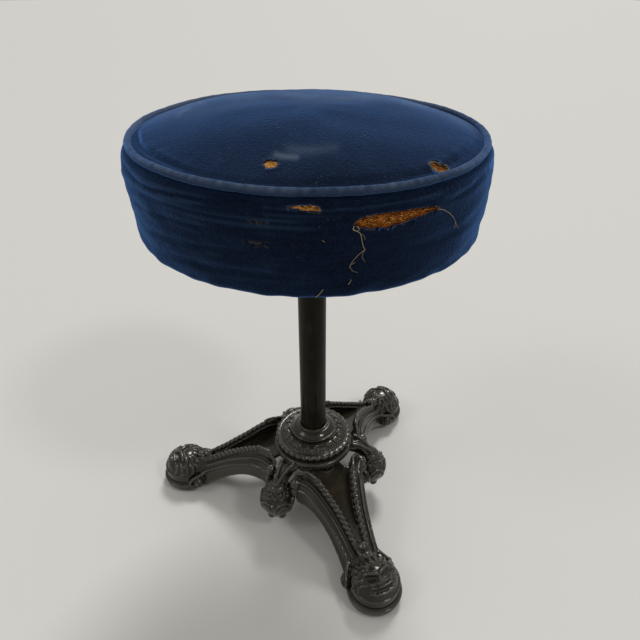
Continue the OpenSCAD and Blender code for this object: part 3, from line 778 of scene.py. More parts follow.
finish_solids(dark_steel, "leg_bolt_front", "leg_bolt_right", "leg_bolt_left", "upper_nut",
              "lower_washer", "lower_nut", "bush_screw", "stop_washer", "stop_nut", "stop_pin",
              "plate_pin", "wood_screw_1", "wood_screw_2", "wood_screw_3", "wood_screw_4")
finish_solids(bush_iron, "bush")
finish_solids(plate_iron, "seat_plate")

# Spindle: a turned steel screw with a coarse square thread, pinned in the seat plate. It rises
# 8 mm for each turn. Its lower journal carries the stop washer and nut.
THREAD_LEAD, THREAD_DEPTH, THREAD_STARTS = 8 * MM, 1.5 * MM, 2
SPINDLE_ROUND, THREAD_STEP, JOURNAL_R, AXIS_R = 64, 0.5 * MM, 6 * MM, 0.1 * MM
spindle_low, spindle_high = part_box("spindle")
stop_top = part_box("stop_washer")[1].z + 0.35 * MM
plate_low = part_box("seat_plate")[0].z
thread_r = spindle_high.x
outline = [(AXIS_R, spindle_low.z), (JOURNAL_R, spindle_low.z), (JOURNAL_R, stop_top)]
outline += [(thread_r, z) for z in np.arange(stop_top, plate_low, THREAD_STEP)]
outline += [(thread_r, plate_low), (thread_r, spindle_high.z), (AXIS_R, spindle_high.z)]
outline = np.array(outline)
spindle_grid, a = ring_grid(outline[:, 0], outline[:, 1], SPINDLE_ROUND)
turns = spindle_grid[..., 2] / THREAD_LEAD - a[None, :] / (2 * math.pi)
groove = fade(np.abs((turns * THREAD_STARTS) % 1 - 0.5), 0.20, 0.32)
cut = (fade(spindle_grid[..., 2], stop_top + 3 * MM, stop_top + 5 * MM)
       * (1 - fade(spindle_grid[..., 2], plate_low - 3 * MM, plate_low - 1 * MM)))
threaded = (outline[:, 0] > JOURNAL_R + MM)[:, None]
shrink = 1 - THREAD_DEPTH / thread_r * groove * cut * threaded
spindle = turned_piece("threaded_spindle",
                       spindle_grid * np.stack([shrink, shrink, np.ones_like(shrink)], -1))
dress(spindle, screw_steel, "seat", "screw_steel", "spindle")

# Seat board: a round of pale softwood, aged brown, with its grain along X. The seat plate is
# screwed to its underside.
WOOD_PALE, WOOD_BROWN = (0.30, 0.185, 0.095, 1), (0.15, 0.085, 0.042, 1)
WOOD_PORE, WOOD_STRETCH = (0.07, 0.04, 0.02, 1), (9, 150, 150)
board_wood, tree, shader = new_material("board_wood", Roughness=0.72)
place = object_place(tree, WOOD_STRETCH)
grain, pores = noise(place, 1.0, 5.0, Distortion=0.6), noise(place, 6.0, 2.0)
wood = mixed(ramp(grain, 0.36, 0.62), WOOD_PALE, WOOD_BROWN)
wood = mixed(0.5 * ramp(pores, 0.55, 0.7), wood, WOOD_PORE)
wire(shader, Base_Color=wood, Normal=bumped(0.3, 0.0005, grain))
finish_solids(board_wood, "seat_board")

# Velvet side band: one strip of navy cotton velvet, sewn to the welt above, pulled down over
# the board's edge and tacked under it. It is creased along its length, torn in two places and
# rubbed to its backing in two more.
SIDE_SHARES = [(0.962, 0), (0.976, 0.035), (0.985, 0.11), (0.993, 0.26), (0.998, 0.45),
               (1.000, 0.62), (0.999, 0.80), (0.992, 0.895), (0.977, 0.942), (0.957, 0.958)]
HEM, HEM_ROWS = 20 * MM, 7
VELVET_ROUND, SIDE_STEPS = 760, 6
VELVET_T = 1.8 * MM
# Creases traced in the photo: way, depth in millimetres and width in pixels
CREASES_PX = [
    ([(119, 152), (124, 166), (136, 180), (156, 190), (196, 199), (236, 205)], 1.5, 1.7),
    ([(126, 183), (140, 193), (165, 204), (205, 215), (250, 222), (300, 226), (352, 226)],
     1.3, 1.5),
    ([(128, 196), (150, 212), (190, 226), (232, 231)], 1.0, 1.6),
    ([(236, 228), (290, 233), (352, 235)], 0.7, 1.5),
    ([(136, 222), (165, 238), (205, 248), (262, 253)], 0.8, 1.8),
    ([(246, 208), (282, 213), (330, 214), (352, 212)], 0.9, 1.4),
    ([(330, 203), (352, 205), (390, 200), (430, 192), (462, 180)], 1.0, 1.6),
    ([(440, 204), (458, 197), (474, 186), (488, 170)], 0.9, 1.8),
    ([(395, 250), (430, 243), (462, 228), (482, 205)], 0.5, 2.2),
    ([(160, 250), (205, 266), (255, 275), (315, 278)], 0.7, 2.2),
]
# Creases of the back: share of the height, depth in millimetres and swings round the seat
BACK_CREASES, BACK_CREASE_W = [(0.82, 1.2, 2), (0.66, 1.0, 3), (0.45, 0.9, 2), (0.25, 0.8, 4)], 2.2
# Slow swells and the hem's puckers: waves round the band, waves up it and size
SIDE_SWELLS = [(3, 4, 0.5), (5, -7, 0.4), (9, 11, 0.25), (14, -5, 0.2), (23, 16, 0.12)]
PUCKERS, PUCKER_H = [(19, 0, 0.5), (31, 0, 0.45), (47, 0, 0.35), (7, 0, 0.4)], 0.55 * MM
# The slack of the band is simulated as cloth: a strip cut a little too tall, held along both
# edges and lightly in between, as the stuffing under it would, buckles into folds that start
# from the photo's creases.
CLOTH_ROUND, CLOTH_UP, CLOTH_SPARE = 300, 28, 0.035
CLOTH_HOLD, CLOTH_CLOSED, CLOTH_FRAMES = 0.22, 8, 14
FOLD_IN, FOLD_OUT, FIRST_SHARE, SHARP_SHARE = 2.6 * MM, 1.3 * MM, 0.45, 0.55
SIDE_LIP, SIDE_LIP_PX, SEAM_PAST = 0.9 * MM, 1.8, 1.6 * MM
# Outlines of the tears as the photo shows them
SIDE_TEARS_PX = {
    "long_tear": [(353, 225.6), (358, 219.4), (366, 216.2), (376, 214.2), (388, 212.6),
                  (403, 210.6), (417, 208.4), (429, 207), (437, 206.2), (439.5, 208.4),
                  (433, 213), (420, 217.4), (405, 224), (390, 228.4), (377, 229.8),
                  (365, 229.6), (357, 228.2)],
    "slit": [(283, 206.8), (292, 205.6), (303, 204.4), (314, 204.8), (320, 207.4), (321.5, 212.8),
             (312, 212.6), (300, 211.8), (292, 210.6), (286, 208.8)],
}
# Scuffs: way and width in pixels
SCUFFS_PX = [([(243, 219), (252, 222.6), (262, 224.6), (271, 225)], 1.7),
             ([(240, 241), (250, 242.6), (262, 244.6), (272, 246)], 1.6)]


def inside(pixels, outline):
    """Which pixels lie inside an outline."""
    x, y = pixels[..., 0], pixels[..., 1]
    result = np.zeros(x.shape, bool)
    corners = np.array(outline)
    for (x0, y0), (x1, y1) in zip(corners, np.roll(corners, -1, 0)):
        if y0 != y1:
            cross = (y0 <= y) != (y1 <= y)
            result ^= cross & (x < x0 + (y - y0) * (x1 - x0) / (y1 - y0))
    return result


def pixel_distance(pixels, path, closed=False):
    """Distance in pixels to a path or an outline, and the share of the way along it."""
    path = np.array(path, float)
    if closed:
        path = np.vstack([path, path[:1]])
    best = np.full(pixels.shape[:-1], np.inf)
    share = np.zeros(pixels.shape[:-1])
    for k, (p, q) in enumerate(zip(path[:-1], path[1:])):
        d = q - p
        t = np.clip(((pixels - p) @ d) / (d @ d), 0, 1)
        away = np.linalg.norm(pixels - p - t[..., None] * d, axis=-1)
        share = np.where(away < best, (k + t) / (len(path) - 1), share)
        best = np.minimum(best, away)
    return best, share


def waves(a, h, seed, lengths):
    """Slow uneven swells round and up the seat, from a few seeded waves."""
    pick = np.random.default_rng(seed)
    total = np.zeros(np.broadcast(a, h).shape)
    for around, upward, size in lengths:
        total = total + size * np.sin(around * a + upward * h + pick.uniform(0, 2 * math.pi))
    return total


def tapered(share, rise, fall):
    """Grows from a path's start and fades out towards its end."""
    return fade(share, 0, rise) * (1 - fade(share, fall, 1))


def crease(d, width, ridge):
    """The section of a crease with a low ridge beside it, at a distance from its middle."""
    return bell(d, width) - ridge * bell(d - 2.4 * width, 1.3 * width)


def faces_camera(grid, normals):
    """Where a surface faces the camera."""
    return ((np.array(CAMERA_AT) - grid) * normals).sum(-1) > 0


side_low, side_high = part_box("cover_side")
welt_low, welt_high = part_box("welt")
seat_r = side_high.x
welt_r = (welt_high.z - welt_low.z) / 2
welt_z = (welt_high.z + welt_low.z) / 2
welt_ring = welt_high.x - welt_r
side_h = welt_z - side_low.z

band_profile = smooth_path(SIDE_SHARES, SIDE_STEPS) * (seat_r, side_h) + (0, side_low.z)
hem_rows = [(band_profile[0, 0] - HEM * (1 - t), side_low.z + 0.1 * MM)
            for t in np.linspace(0, 0.95, HEM_ROWS)]
tuck = [(welt_ring + SEAM_PAST, band_profile[-1, 1] + 0.6 * MM),
        (welt_ring - 1.0 * MM, welt_z - 1.5 * MM)]
rows = np.vstack([hem_rows, band_profile, tuck])
side_grid, angles = ring_grid(rows[:, 0], rows[:, 1], VELVET_ROUND)
side_normals = grid_normals(side_grid)
side_pixels = seen_at(side_grid)
side_seen = faces_camera(side_grid, side_normals)
up_share = np.clip((rows[:, 1] - side_low.z) / side_h, 0, 1)
free = fade(up_share, 0.02, 0.16) * (1 - fade(up_share, 0.88, 0.95))
side_push = waves(angles[None, :], up_share[:, None], 11, SIDE_SWELLS) * MM * free[:, None]
side_worn_and_lit = np.zeros(side_push.shape)


def first_creases(grid, normals, heights, around):
    """Where the band is creased before its slack settles, as a push in metres."""
    pixels, seen = seen_at(grid), faces_camera(grid, normals)
    push = np.zeros(seen.shape)
    for path, depth, width in CREASES_PX:
        d, share = pixel_distance(pixels, smooth_path(path, 5))
        push -= depth * MM * tapered(share, 0.22, 0.72) * crease(d, width, 0.45) * seen
    # Creases of the back, which the photo does not show, are made in the same way
    for height, size, count in BACK_CREASES:
        line = height + 0.04 * np.sin(count * around + 9 * height)[None, :]
        d = (heights[:, None] - line) * side_h / MM
        reach = fade(np.sin(around * 1.5 + 7 * height), -0.3, 0.5)[None, :] * ~seen
        push -= size * MM * bell(d, BACK_CREASE_W) * reach
    return push


def as_outline(corners):
    """A tear's outline in pixels, eased between its corners."""
    closed = np.vstack([corners, corners[:1]])
    return smooth_path(closed, 3)[:-1]


def drawn_to(grid, pixels, outlines, seen):
    """Moves the points nearest a tear onto its outline, so that the cut edge runs smoothly."""
    def slopes(values):
        return np.gradient(values, axis=0), (np.roll(values, -1, 1) - np.roll(values, 1, 1)) / 2

    (down, across), (step_down, step_across) = slopes(pixels), slopes(grid)
    area = down[..., 0] * across[..., 1] - down[..., 1] * across[..., 0]
    area = np.where(np.abs(area) < 1e-6, 1e-6, area)
    grid, pixels = grid.copy(), pixels.copy()
    for outline in outlines:
        ring = np.vstack([outline, outline[:1]])
        whole = pixel_distance(pixels, ring)[1] * (len(ring) - 1)
        k = np.minimum(whole.astype(int), len(ring) - 2)
        closest = ring[k] + (whole - k)[..., None] * (ring[k + 1] - ring[k])
        way = closest - pixels
        s = (way[..., 0] * across[..., 1] - way[..., 1] * across[..., 0]) / area
        t = (down[..., 0] * way[..., 1] - down[..., 1] * way[..., 0]) / area
        near = (seen & (np.maximum(np.abs(s), np.abs(t)) < 0.6))[..., None]
        grid = grid + near * (s[..., None] * step_down + t[..., None] * step_across)
        pixels = np.where(near, closest, pixels)
    return grid, pixels


def settled_slack():
    """Simulates the band's slack and gives its push on an even grid of rows and angles."""
    z = np.linspace(band_profile[0, 1], band_profile[-4, 1], CLOTH_UP)
    radii = np.interp(z, band_profile[:-3, 1], band_profile[:-3, 0])
    strip, around = ring_grid(radii, z, CLOTH_ROUND)
    normals = grid_normals(strip)
    first = first_creases(strip, normals, (z - side_low.z) / side_h, around)
    start = strip + FIRST_SHARE * first[..., None] * normals
    tall = start.copy()
    tall[..., 2] = z[0] + (tall[..., 2] - z[0]) * (1 + CLOTH_SPARE)
    cloth = turned_piece("slack_velvet", tall)
    held = cloth.vertex_groups.new(name="held")
    for row in range(CLOTH_UP):
        weight = 1.0 if row in (0, CLOTH_UP - 1) else CLOTH_HOLD
        held.add(list(range(row * CLOTH_ROUND, (row + 1) * CLOTH_ROUND)), weight, "REPLACE")
    cloth.shape_key_add(name="tall")
    closed = cloth.shape_key_add(name="closed")
    closed.data.foreach_set("co", start.astype(np.float32).ravel())
    for value, frame_number in ((0, 1), (1, CLOTH_CLOSED)):
        closed.value = value
        closed.keyframe_insert("value", frame=frame_number)
    drape = cloth.modifiers.new("drape", "CLOTH")
    drape.point_cache.frame_end = CLOTH_FRAMES
    drape.collision_settings.use_collision = False
    stiff = drape.settings
    stiff.quality, stiff.mass, stiff.air_damping = 8, 0.15, 2
    stiff.tension_stiffness = stiff.compression_stiffness = 40
    stiff.shear_stiffness, stiff.bending_stiffness = 10, 0.8
    stiff.vertex_group_mass, stiff.pin_stiffness = "held", 1.0
    stiff.effector_weights.gravity = 0
    for frame_number in range(1, CLOTH_FRAMES + 1):
        scene.frame_set(frame_number)
    settled = cloth.evaluated_get(bpy.context.evaluated_depsgraph_get()).data
    points = np.zeros(len(settled.vertices) * 3)
    settled.vertices.foreach_get("co", points)
    points = points.reshape(CLOTH_UP, CLOTH_ROUND, 3)
    cloth.data.shape_keys.animation_data_clear()
    bpy.data.objects.remove(cloth)
    scene.frame_set(1)
    pushed = np.hypot(points[..., 0], points[..., 1]) - radii[:, None]
    return z, np.clip(pushed, -FOLD_IN, FOLD_OUT)


def evened(field, rounds):
    """A field on a ring grid, eased towards the mean of its neighbours."""
    for _ in range(rounds):
        field = 0.5 * field + 0.25 * (np.roll(field, 1, 1) + np.roll(field, -1, 1))
        field[1:-1] = 0.5 * field[1:-1] + 0.25 * (field[2:] + field[:-2])
    return field


slack_z, slack = settled_slack()
row_at = (rows[:, 1] - slack_z[0]) / (slack_z[-1] - slack_z[0]) * (CLOTH_UP - 1)
row_at = np.clip(row_at, 0, CLOTH_UP - 1.001)
column_at = angles / (2 * math.pi) * CLOTH_ROUND
i, k = row_at.astype(int), column_at.astype(int)
s, t = (row_at - i)[:, None], (column_at - k)[None, :]
after = (k + 1) % CLOTH_ROUND
slack_push = ((1 - s) * ((1 - t) * slack[i][:, k] + t * slack[i][:, after])
              + s * ((1 - t) * slack[i + 1][:, k] + t * slack[i + 1][:, after]))
slack_push = evened(slack_push, 3) * (rows[:, 0] > side_high.x * 0.955)[:, None]
sharp = first_creases(side_grid, side_normals, up_share, angles)
side_push += (slack_push + SHARP_SHARE * sharp) * free[:, None]
# Raised folds and the ridges beside the creases are paler: rubbed pile and painted highlight
side_worn_and_lit += 0.35 * fade(side_push / MM, 0.3, 1.3)
side_worn_and_lit += 0.65 * fade(sharp / MM, 0.12, 0.60) * free[:, None]
low_edge = bell(up_share, 0.08)[:, None] * (rows[:, 0] > side_high.x * 0.9)[:, None]
side_push += PUCKER_H * waves(angles, 0.0, 17, PUCKERS)[None, :] * low_edge
side_tears = {name: as_outline(corners) for name, corners in SIDE_TEARS_PX.items()}
for outline in side_tears.values():
    d = pixel_distance(side_pixels, outline, closed=True)[0]
    side_push += SIDE_LIP * bell(d, SIDE_LIP_PX) * side_seen
    side_worn_and_lit += 0.35 * bell(d, 1.0) * side_seen
side_scuffed = np.zeros(side_push.shape)
for path, width in SCUFFS_PX:
    d, share = pixel_distance(side_pixels, smooth_path(path, 5))
    side_scuffed += bell(d, width) * tapered(share, 0.2, 0.8) * side_seen
side_whole = side_grid + side_push[..., None] * side_normals
side_whole, side_pixels = drawn_to(side_whole, side_pixels, side_tears.values(), side_seen)


def faces_left(grid, pixels, outlines, seen):
    """Faces of a ring grid without those whose middle lies in a tear."""
    faces = np.array(wrap_rows(*grid.shape[:2]))
    middles = pixels.reshape(-1, 2)[faces].mean(1)
    cut = np.zeros(len(faces), bool)
    for outline in outlines:
        cut |= inside(middles, outline)
    cut &= seen.reshape(-1)[faces].all(1)
    return [tuple(face) for face in faces[~cut].tolist()]


def cloth_piece(name, grid, faces, worn, scuffed):
    """A sheet of velvet with its tears cut out and its real thickness."""
    cloth = new_piece(name, grid.reshape(-1, 3), faces)
    # The worn share holds rubbed pile, and in places also painted highlight and sheen
    mark_points(cloth, "worn", worn)
    mark_points(cloth, "scuffed", scuffed)
    thick = cloth.modifiers.new("thickness", "SOLIDIFY")
    thick.thickness = VELVET_T
    thick.offset = -1
    shaped = cloth.evaluated_get(bpy.context.evaluated_depsgraph_get())
    cloth_mesh = bpy.data.meshes.new_from_object(shaped)
    cloth.modifiers.clear()
    cloth.data = cloth_mesh
    return cloth


# Velvet: short pile that looks darker from the front and paler where it turns away, brushed in
# patches, rubbed along folds and tears, painted paler in places as highlight and sheen, and strewn
# with dust and lint.
velvet_pile, brushing, pile_out = effect("velvet_pile", "Streak", "NodeSocketVector", (1, 1, 1),
                                         ("Height", "Nap", "Tufts", "Dust", "Streaks"))
place = object_place(velvet_pile)
pile, tuft = noise(place, 1500.0, 2.0), noise(place, 420.0, 3.0)
nap = noise(place, 16.0, 4.0, Roughness=0.6, Distortion=0.8)
brushed = Signal(add(velvet_pile, "ShaderNodeVectorMath", {"operation": "MULTIPLY"},
                     i0=place, i1=brushing), 0)
streak, strewn = noise(brushed, 1.0, 4.0), noise(place, 30.0, 2.0)
lint = ramp(cells(place, 150.0), 0.11, 0.05, "LINEAR") * ramp(strewn, 0.46, 0.62)
grit = ramp(cells(place, 430.0), 0.30, 0.08, "LINEAR") * ramp(tuft, 0.46, 0.62)
grit = grit * ramp(strewn, 0.36, 0.60)
wire(pile_out, Height=0.25 * pile + tuft, Nap=ramp(nap, 0.38, 0.66),
     Tufts=ramp(tuft, 0.36, 0.66), Dust=lint + 0.55 * grit, Streaks=ramp(streak, 0.42, 0.68))

SIDE_DUSTY, TOP_DUSTY, WELT_DUSTY = 0.16, 0.45, 0.3
BARE_BACKING = (0.050, 0.043, 0.022, 1)
DUST_GREY = (0.20, 0.23, 0.27, 1)
PILE_SHEEN = (0.15, 0.39, 1.0, 1)


def velvet_finish(name, deep, lifted, rubbed, streak, dusty):
    """Navy cotton velvet with its own tones, brushing and share of dust."""
    finish, tree, shader = new_material(name, Roughness=0.9, Specular_IOR_Level=0.05,
                                        Sheen_Weight=0.80, Sheen_Roughness=0.36,
                                        Sheen_Tint=PILE_SHEEN)
    pile = use(tree, velvet_pile, Streak=streak)
    tone = deep
    for effect_name, share in (("Nap", 0.45), ("Tufts", 0.50), ("Streaks", 0.35)):
        tone = mixed(share * pile[effect_name], tone, lifted)
    # The stored worn share is rubbed pile, and in places painted highlight and sheen
    tone = mixed(stored(tree, "worn") * (0.55 + 0.35 * pile["Nap"]), tone, rubbed)
    bare = stored(tree, "scuffed") * ramp(pile["Tufts"], 0.35, 0.75)
    tone = mixed(0.85 * bare, tone, BARE_BACKING)
    tone = mixed(dusty * pile["Dust"], tone, DUST_GREY)
    wire(shader, Base_Color=tone, Normal=bumped(0.60, 0.0011, pile["Height"]))
    return finish


NAVY_DEEP = (0.0018, 0.0036, 0.0095, 1)
NAVY_LIFTED = (0.0052, 0.0115, 0.0300, 1)
# The rubbed tone of the side also paints the highlight on its fold ridges
NAVY_RUBBED_AND_LIT = (0.020, 0.040, 0.085, 1)
BRUSHED_ROUND = (28, 28, 420)
side_velvet = velvet_finish("velvet_side", NAVY_DEEP, NAVY_LIFTED, NAVY_RUBBED_AND_LIT, BRUSHED_ROUND,
                            SIDE_DUSTY)
side_faces = faces_left(side_grid, side_pixels, side_tears.values(), side_seen)
side_cover = cloth_piece("velvet_side_band", side_whole, side_faces, side_worn_and_lit, side_scuffed)
dress(side_cover, side_velvet, "seat", "velvet", "cover_side")

# Velvet top panel: a round piece over a full crown, sewn to the welt. It has two holes, one in the
# middle of its front half and a frayed one beside the welt, pale rubs, and a far half painted paler
# as sheen.
CROWN_POWER, TOP_RINGS, TOP_ROUND = 2.4, 100, VELVET_ROUND // 2
TOP_HOLES_PX = {
    "round_hole": [(262.5, 163.4), (264.6, 160.6), (270, 159), (275.4, 159.8), (278, 162.6),
                   (276.4, 165.8), (271.4, 168), (265.6, 167.4)],
    "frayed_hole": [(428, 163.5), (433, 161.8), (440, 163.8), (447, 166), (449, 170.5),
                    (441, 173), (434, 169.5)],
}
# Rubs: way, width in pixels and strength
TOP_RUBS_PX = [
    ([(276, 154), (284, 156), (296, 157)], 3.0, 0.60),
    ([(404, 104), (414, 106), (426, 108)], 1.8, 0.4),
    ([(178, 116), (184, 111), (190, 109)], 1.8, 0.4),
    ([(200, 104), (206, 104)], 1.6, 0.3),
    ([(290, 148), (312, 150), (334, 147)], 5.0, 0.25),
]
# Painted sheen on the far half: its strength and the way it faces
FAR_HALF_SHEEN, SHEEN_WAY = 0.85, math.radians(67)
# Folds: way, depth in millimetres and width in pixels
TOP_FOLDS_PX = [
    ([(146, 117), (137, 131), (141, 146), (157, 157), (182, 168), (206, 177)], 1.5, 2.2),
    ([(478, 132), (472, 146), (456, 160), (428, 172), (396, 180)], 0.8, 2.4),
]
TOP_SWELLS = [(2, 5, 0.5), (3, -6, 0.45), (5, 9, 0.3), (8, -12, 0.15)]
GATHERS, GATHER_H = [(31, 0, 0.3), (47, 0, 0.25), (71, 0, 0.2)], 0.3 * MM
SEAM_DIP, TOP_LIP, TOP_LIP_PX = 0.9 * MM, 0.7 * MM, 1.6
SHEEN_WOBBLES = [(2, 3, 0.6), (5, -4, 0.5), (9, 7, 0.3)]
# The top's rubbed tone also paints the sheen of its far half
TOP_RUBBED_AND_SHEEN, BRUSHED_ACROSS = (0.120, 0.150, 0.195, 1), (70, 30, 30)

top_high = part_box("cover_top")[1]
crown_r = welt_ring - welt_r
crown_h = top_high.z - welt_z
out = crown_r * np.linspace(1, 0, TOP_RINGS) ** 0.85
out[-1] = 0.2 * MM
crown = welt_z + crown_h * (1 - (out / crown_r) ** CROWN_POWER)
rows = np.vstack([[(crown_r + SEAM_PAST, welt_z - 1.2 * MM)], np.stack([out, crown], -1)])
top_grid, angles = ring_grid(rows[:, 0], rows[:, 1], TOP_ROUND)
top_normals = grid_normals(top_grid)
top_pixels = seen_at(top_grid)
out_share = rows[:, 0] / crown_r
free = (1 - fade(out_share, 0.90, 0.985))[:, None]
top_push = waves(angles[None, :], out_share[:, None], 5, TOP_SWELLS) * MM
top_push = top_push * free * fade(out_share, 0.02, 0.3)[:, None]
# Small gathers where the panel is sewn in, its two folds, and the dip along the seam
gather = waves(angles[None, :], 0.0, 8, GATHERS)
top_push += GATHER_H * gather * bell(out_share - 0.93, 0.06)[:, None]
for path, depth, width in TOP_FOLDS_PX:
    d, share = pixel_distance(top_pixels, smooth_path(path, 5))
    top_push -= depth * MM * crease(d, width, 0.5) * tapered(share, 0.3, 0.6)
at_back = fade(np.sin(angles), -0.2, 0.7)
top_push -= SEAM_DIP * bell(out_share - 0.965, 0.03)[:, None] * (1 - 0.8 * at_back)
# The far half is painted paler as sheen, with an uneven edge
far = np.cos(angles - SHEEN_WAY)[None, :] * out_share[:, None]
sheen_wobble = waves(angles[None, :], out_share[:, None], 9, SHEEN_WOBBLES)
far = far + 0.10 * sheen_wobble * fade(out_share, 0.0, 0.4)[:, None]
top_worn_and_sheen = FAR_HALF_SHEEN * fade(far, -0.20, 0.42)
for path, width, amount in TOP_RUBS_PX:
    top_worn_and_sheen += amount * bell(pixel_distance(top_pixels, smooth_path(path, 4))[0], width)
top_holes = {name: as_outline(corners) for name, corners in TOP_HOLES_PX.items()}
for outline in top_holes.values():
    d = pixel_distance(top_pixels, outline, closed=True)[0]
    top_push += TOP_LIP * bell(d, TOP_LIP_PX)
    top_worn_and_sheen += 0.25 * bell(d, 1.0)
top_whole = top_grid + top_push[..., None] * top_normals
top_seen = np.ones(top_push.shape, bool)
top_whole, top_pixels = drawn_to(top_whole, top_pixels, top_holes.values(), top_seen)
top_velvet = velvet_finish("velvet_top", NAVY_DEEP, NAVY_LIFTED, TOP_RUBBED_AND_SHEEN, BRUSHED_ACROSS,
                           TOP_DUSTY)
top_faces = faces_left(top_grid, top_pixels, top_holes.values(), top_seen)
inmost = (len(rows) - 1) * TOP_ROUND
top_faces.append(tuple(range(inmost, inmost + TOP_ROUND)))
top_cover = cloth_piece("velvet_top_panel", top_whole, top_faces, top_worn_and_sheen, 0 * top_worn_and_sheen)
dress(top_cover, top_velvet, "seat", "velvet", "cover_top")

# Welt: a strip of the same velvet cut on the cross and sewn round a cord. Its pile is rubbed paler
# all round, its back half is painted paler still as sheen, and it wanders a little where the cover
# has slipped.
WELT_ROUND, WELT_SIDES, CORD_TURNS = 900, 18, 210
WANDERS = [(2, 0, 0.25), (5, 0, 0.2), (9, 0, 0.18), (17, 0, 0.1)]
DROPS = [(3, 0, 0.3), (7, 0, 0.25), (13, 0, 0.12)]
RUB_PATCHES = [(4, 0, 0.4), (11, 0, 0.4), (29, 0, 0.3), (83, 0, 0.5), (131, 0, 0.5)]
# Deep, lifted and rubbed tones; the rubbed one also paints the sheen of the back half
WELT_TONES = ((0.016, 0.028, 0.058, 1), (0.030, 0.048, 0.088, 1), (0.092, 0.118, 0.170, 1))
angles = np.linspace(0, 2 * math.pi, WELT_ROUND, endpoint=False)
wander = waves(angles, 0.0, 21, WANDERS) * MM
drop = waves(angles, 0.0, 22, DROPS) * MM
fat = 1 + 0.02 * waves(angles, 0.0, 23, [(19, 0, 1), (41, 0, 1), (67, 0, 1)])
twist = np.linspace(0, 2 * math.pi, WELT_SIDES, endpoint=False)
ribs = 1 + 0.022 * np.sin(CORD_TURNS * angles[None, :] + 1.5 * twist[:, None]) * (
    0.6 + 0.4 * waves(angles, 0.0, 24, [(23, 0, 1), (37, 0, 1)])[None, :])
section = welt_r * fat[None, :] * ribs
ring = welt_ring + wander[None, :] + section * np.cos(twist)[:, None]
welt_grid = np.stack([ring * np.cos(angles)[None, :], ring * np.sin(angles)[None, :],
                      welt_z + drop[None, :] + section * np.sin(twist)[:, None]], -1)
welt_faces = wrap_rows(WELT_SIDES, WELT_ROUND)
last = (WELT_SIDES - 1) * WELT_ROUND
welt_faces += [(last + k, last + (k + 1) % WELT_ROUND, (k + 1) % WELT_ROUND, k)
               for k in range(WELT_ROUND)]
welt = new_piece("velvet_welt", welt_grid.reshape(-1, 3), welt_faces)
welt_rub_and_sheen = 0.45 + 0.30 * waves(angles, 0.0, 31, RUB_PATCHES)[None, :]
welt_rub_and_sheen = welt_rub_and_sheen * fade(np.sin(twist), -0.2, 0.8)[:, None]
# The back half is painted paler, as its sheen
welt_rub_and_sheen = np.maximum(welt_rub_and_sheen, 0.9 * fade(np.sin(angles), -0.3, 0.5)[None, :])
mark_points(welt, "worn", welt_rub_and_sheen)
welt_velvet = velvet_finish("velvet_welt", *WELT_TONES, (200, 200, 200), WELT_DUSTY)
dress(welt, welt_velvet, "seat", "velvet_welt", "welt")

# Stuffing: coarse orange-brown vegetable fibre, pressed hard into a cushion on the board. It
# shows in the tears as a matted bed with loose strands across it.
FIBRE_DARK, FIBRE_ORANGE = (0.050, 0.011, 0.0012, 1), (0.37, 0.104, 0.008, 1)
FIBRE_OCHRE = (0.74, 0.39, 0.095, 1)
FIBRE_STRETCH = (160, 160, 900)
STUFFING_GAP, STUFFING_ROUND, STUFFING_FILL, BED_SHADE = 1.4 * MM, 360, 0.95, 0.25
LUMPS = [(37, 1, 0.12), (61, 2, 0.10), (97, 3, 0.08)]

fibre, tree, shader = new_material("padding_fibre", Roughness=0.8, Specular_IOR_Level=0.2)
matted = noise(object_place(tree, FIBRE_STRETCH), 1.0, 5.0, Distortion=1.5)
pale = 0.5 * matted + 0.75 * stored(tree, "shade")
tone = mixed(ramp(pale, 0.20, 0.68), FIBRE_DARK, FIBRE_ORANGE)
tone = mixed(ramp(pale, 0.62, 1.02), tone, FIBRE_OCHRE)
wire(shader, Base_Color=tone, Normal=bumped(0.8, 0.0012, matted))

board_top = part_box("seat_board")[1].z
bed = [(r - STUFFING_GAP - VELVET_T, z) for r, z in band_profile
       if board_top + MM < z < welt_z - 2.2 * welt_r]
crown_bed = [(r, welt_z + crown_h * (1 - (r / crown_r) ** CROWN_POWER) - STUFFING_GAP - VELVET_T)
             for r in np.linspace(crown_r - 4 * MM, 0.2 * MM, 40)]
bed = np.array([(bed[0][0], board_top + 0.2 * MM)] + bed + crown_bed)
bed_grid, angles = ring_grid(bed[:, 0], bed[:, 1], STUFFING_ROUND)
uneven = waves(angles[None, :], bed[:, 1][:, None] * 400, 3, LUMPS) * MM
stuffing = turned_piece("fibre_stuffing",
                        bed_grid + uneven[..., None] * grid_normals(bed_grid))
mark_points(stuffing, "shade", np.full(len(stuffing.data.vertices), BED_SHADE))
dress(stuffing, fibre, "seat", "padding_fibre", "padding")

# Loose strands of the stuffing in each tear, thick-thin and crossing, mostly lying the way of
# the tear; short frayed pile hairs stand round each edge.
pick = np.random.default_rng(40)
FIBRE_DEPTH, FIBRE_ARCH, HAIR_R = 3.2, 1.9, 0.12 * MM
CURLED_PX, STRAIGHT_PX, HAIR_PX = (0.5, 1.5), (1.5, 5.0), 1.3


def surface_of(grid):
    """The whole surface of a grid before its tears are cut, to find places on it."""
    flat = grid.reshape(-1, 3)
    return BVHTree.FromPolygons([Vector(v) for v in flat], wrap_rows(*grid.shape[:2]))


def found(surface, pixel):
    """The place on a surface that the camera sees at a pixel and its normal, or nothing."""
    place, normal = surface.ray_cast(Vector(CAMERA_AT), sight(pixel))[:2]
    return None if place is None else (np.array(place), np.array(normal))


def strand(path, radius, sides=4):
    """A bent strand through a few places."""
    return tube(smooth_path(path, 3), radius, sides)


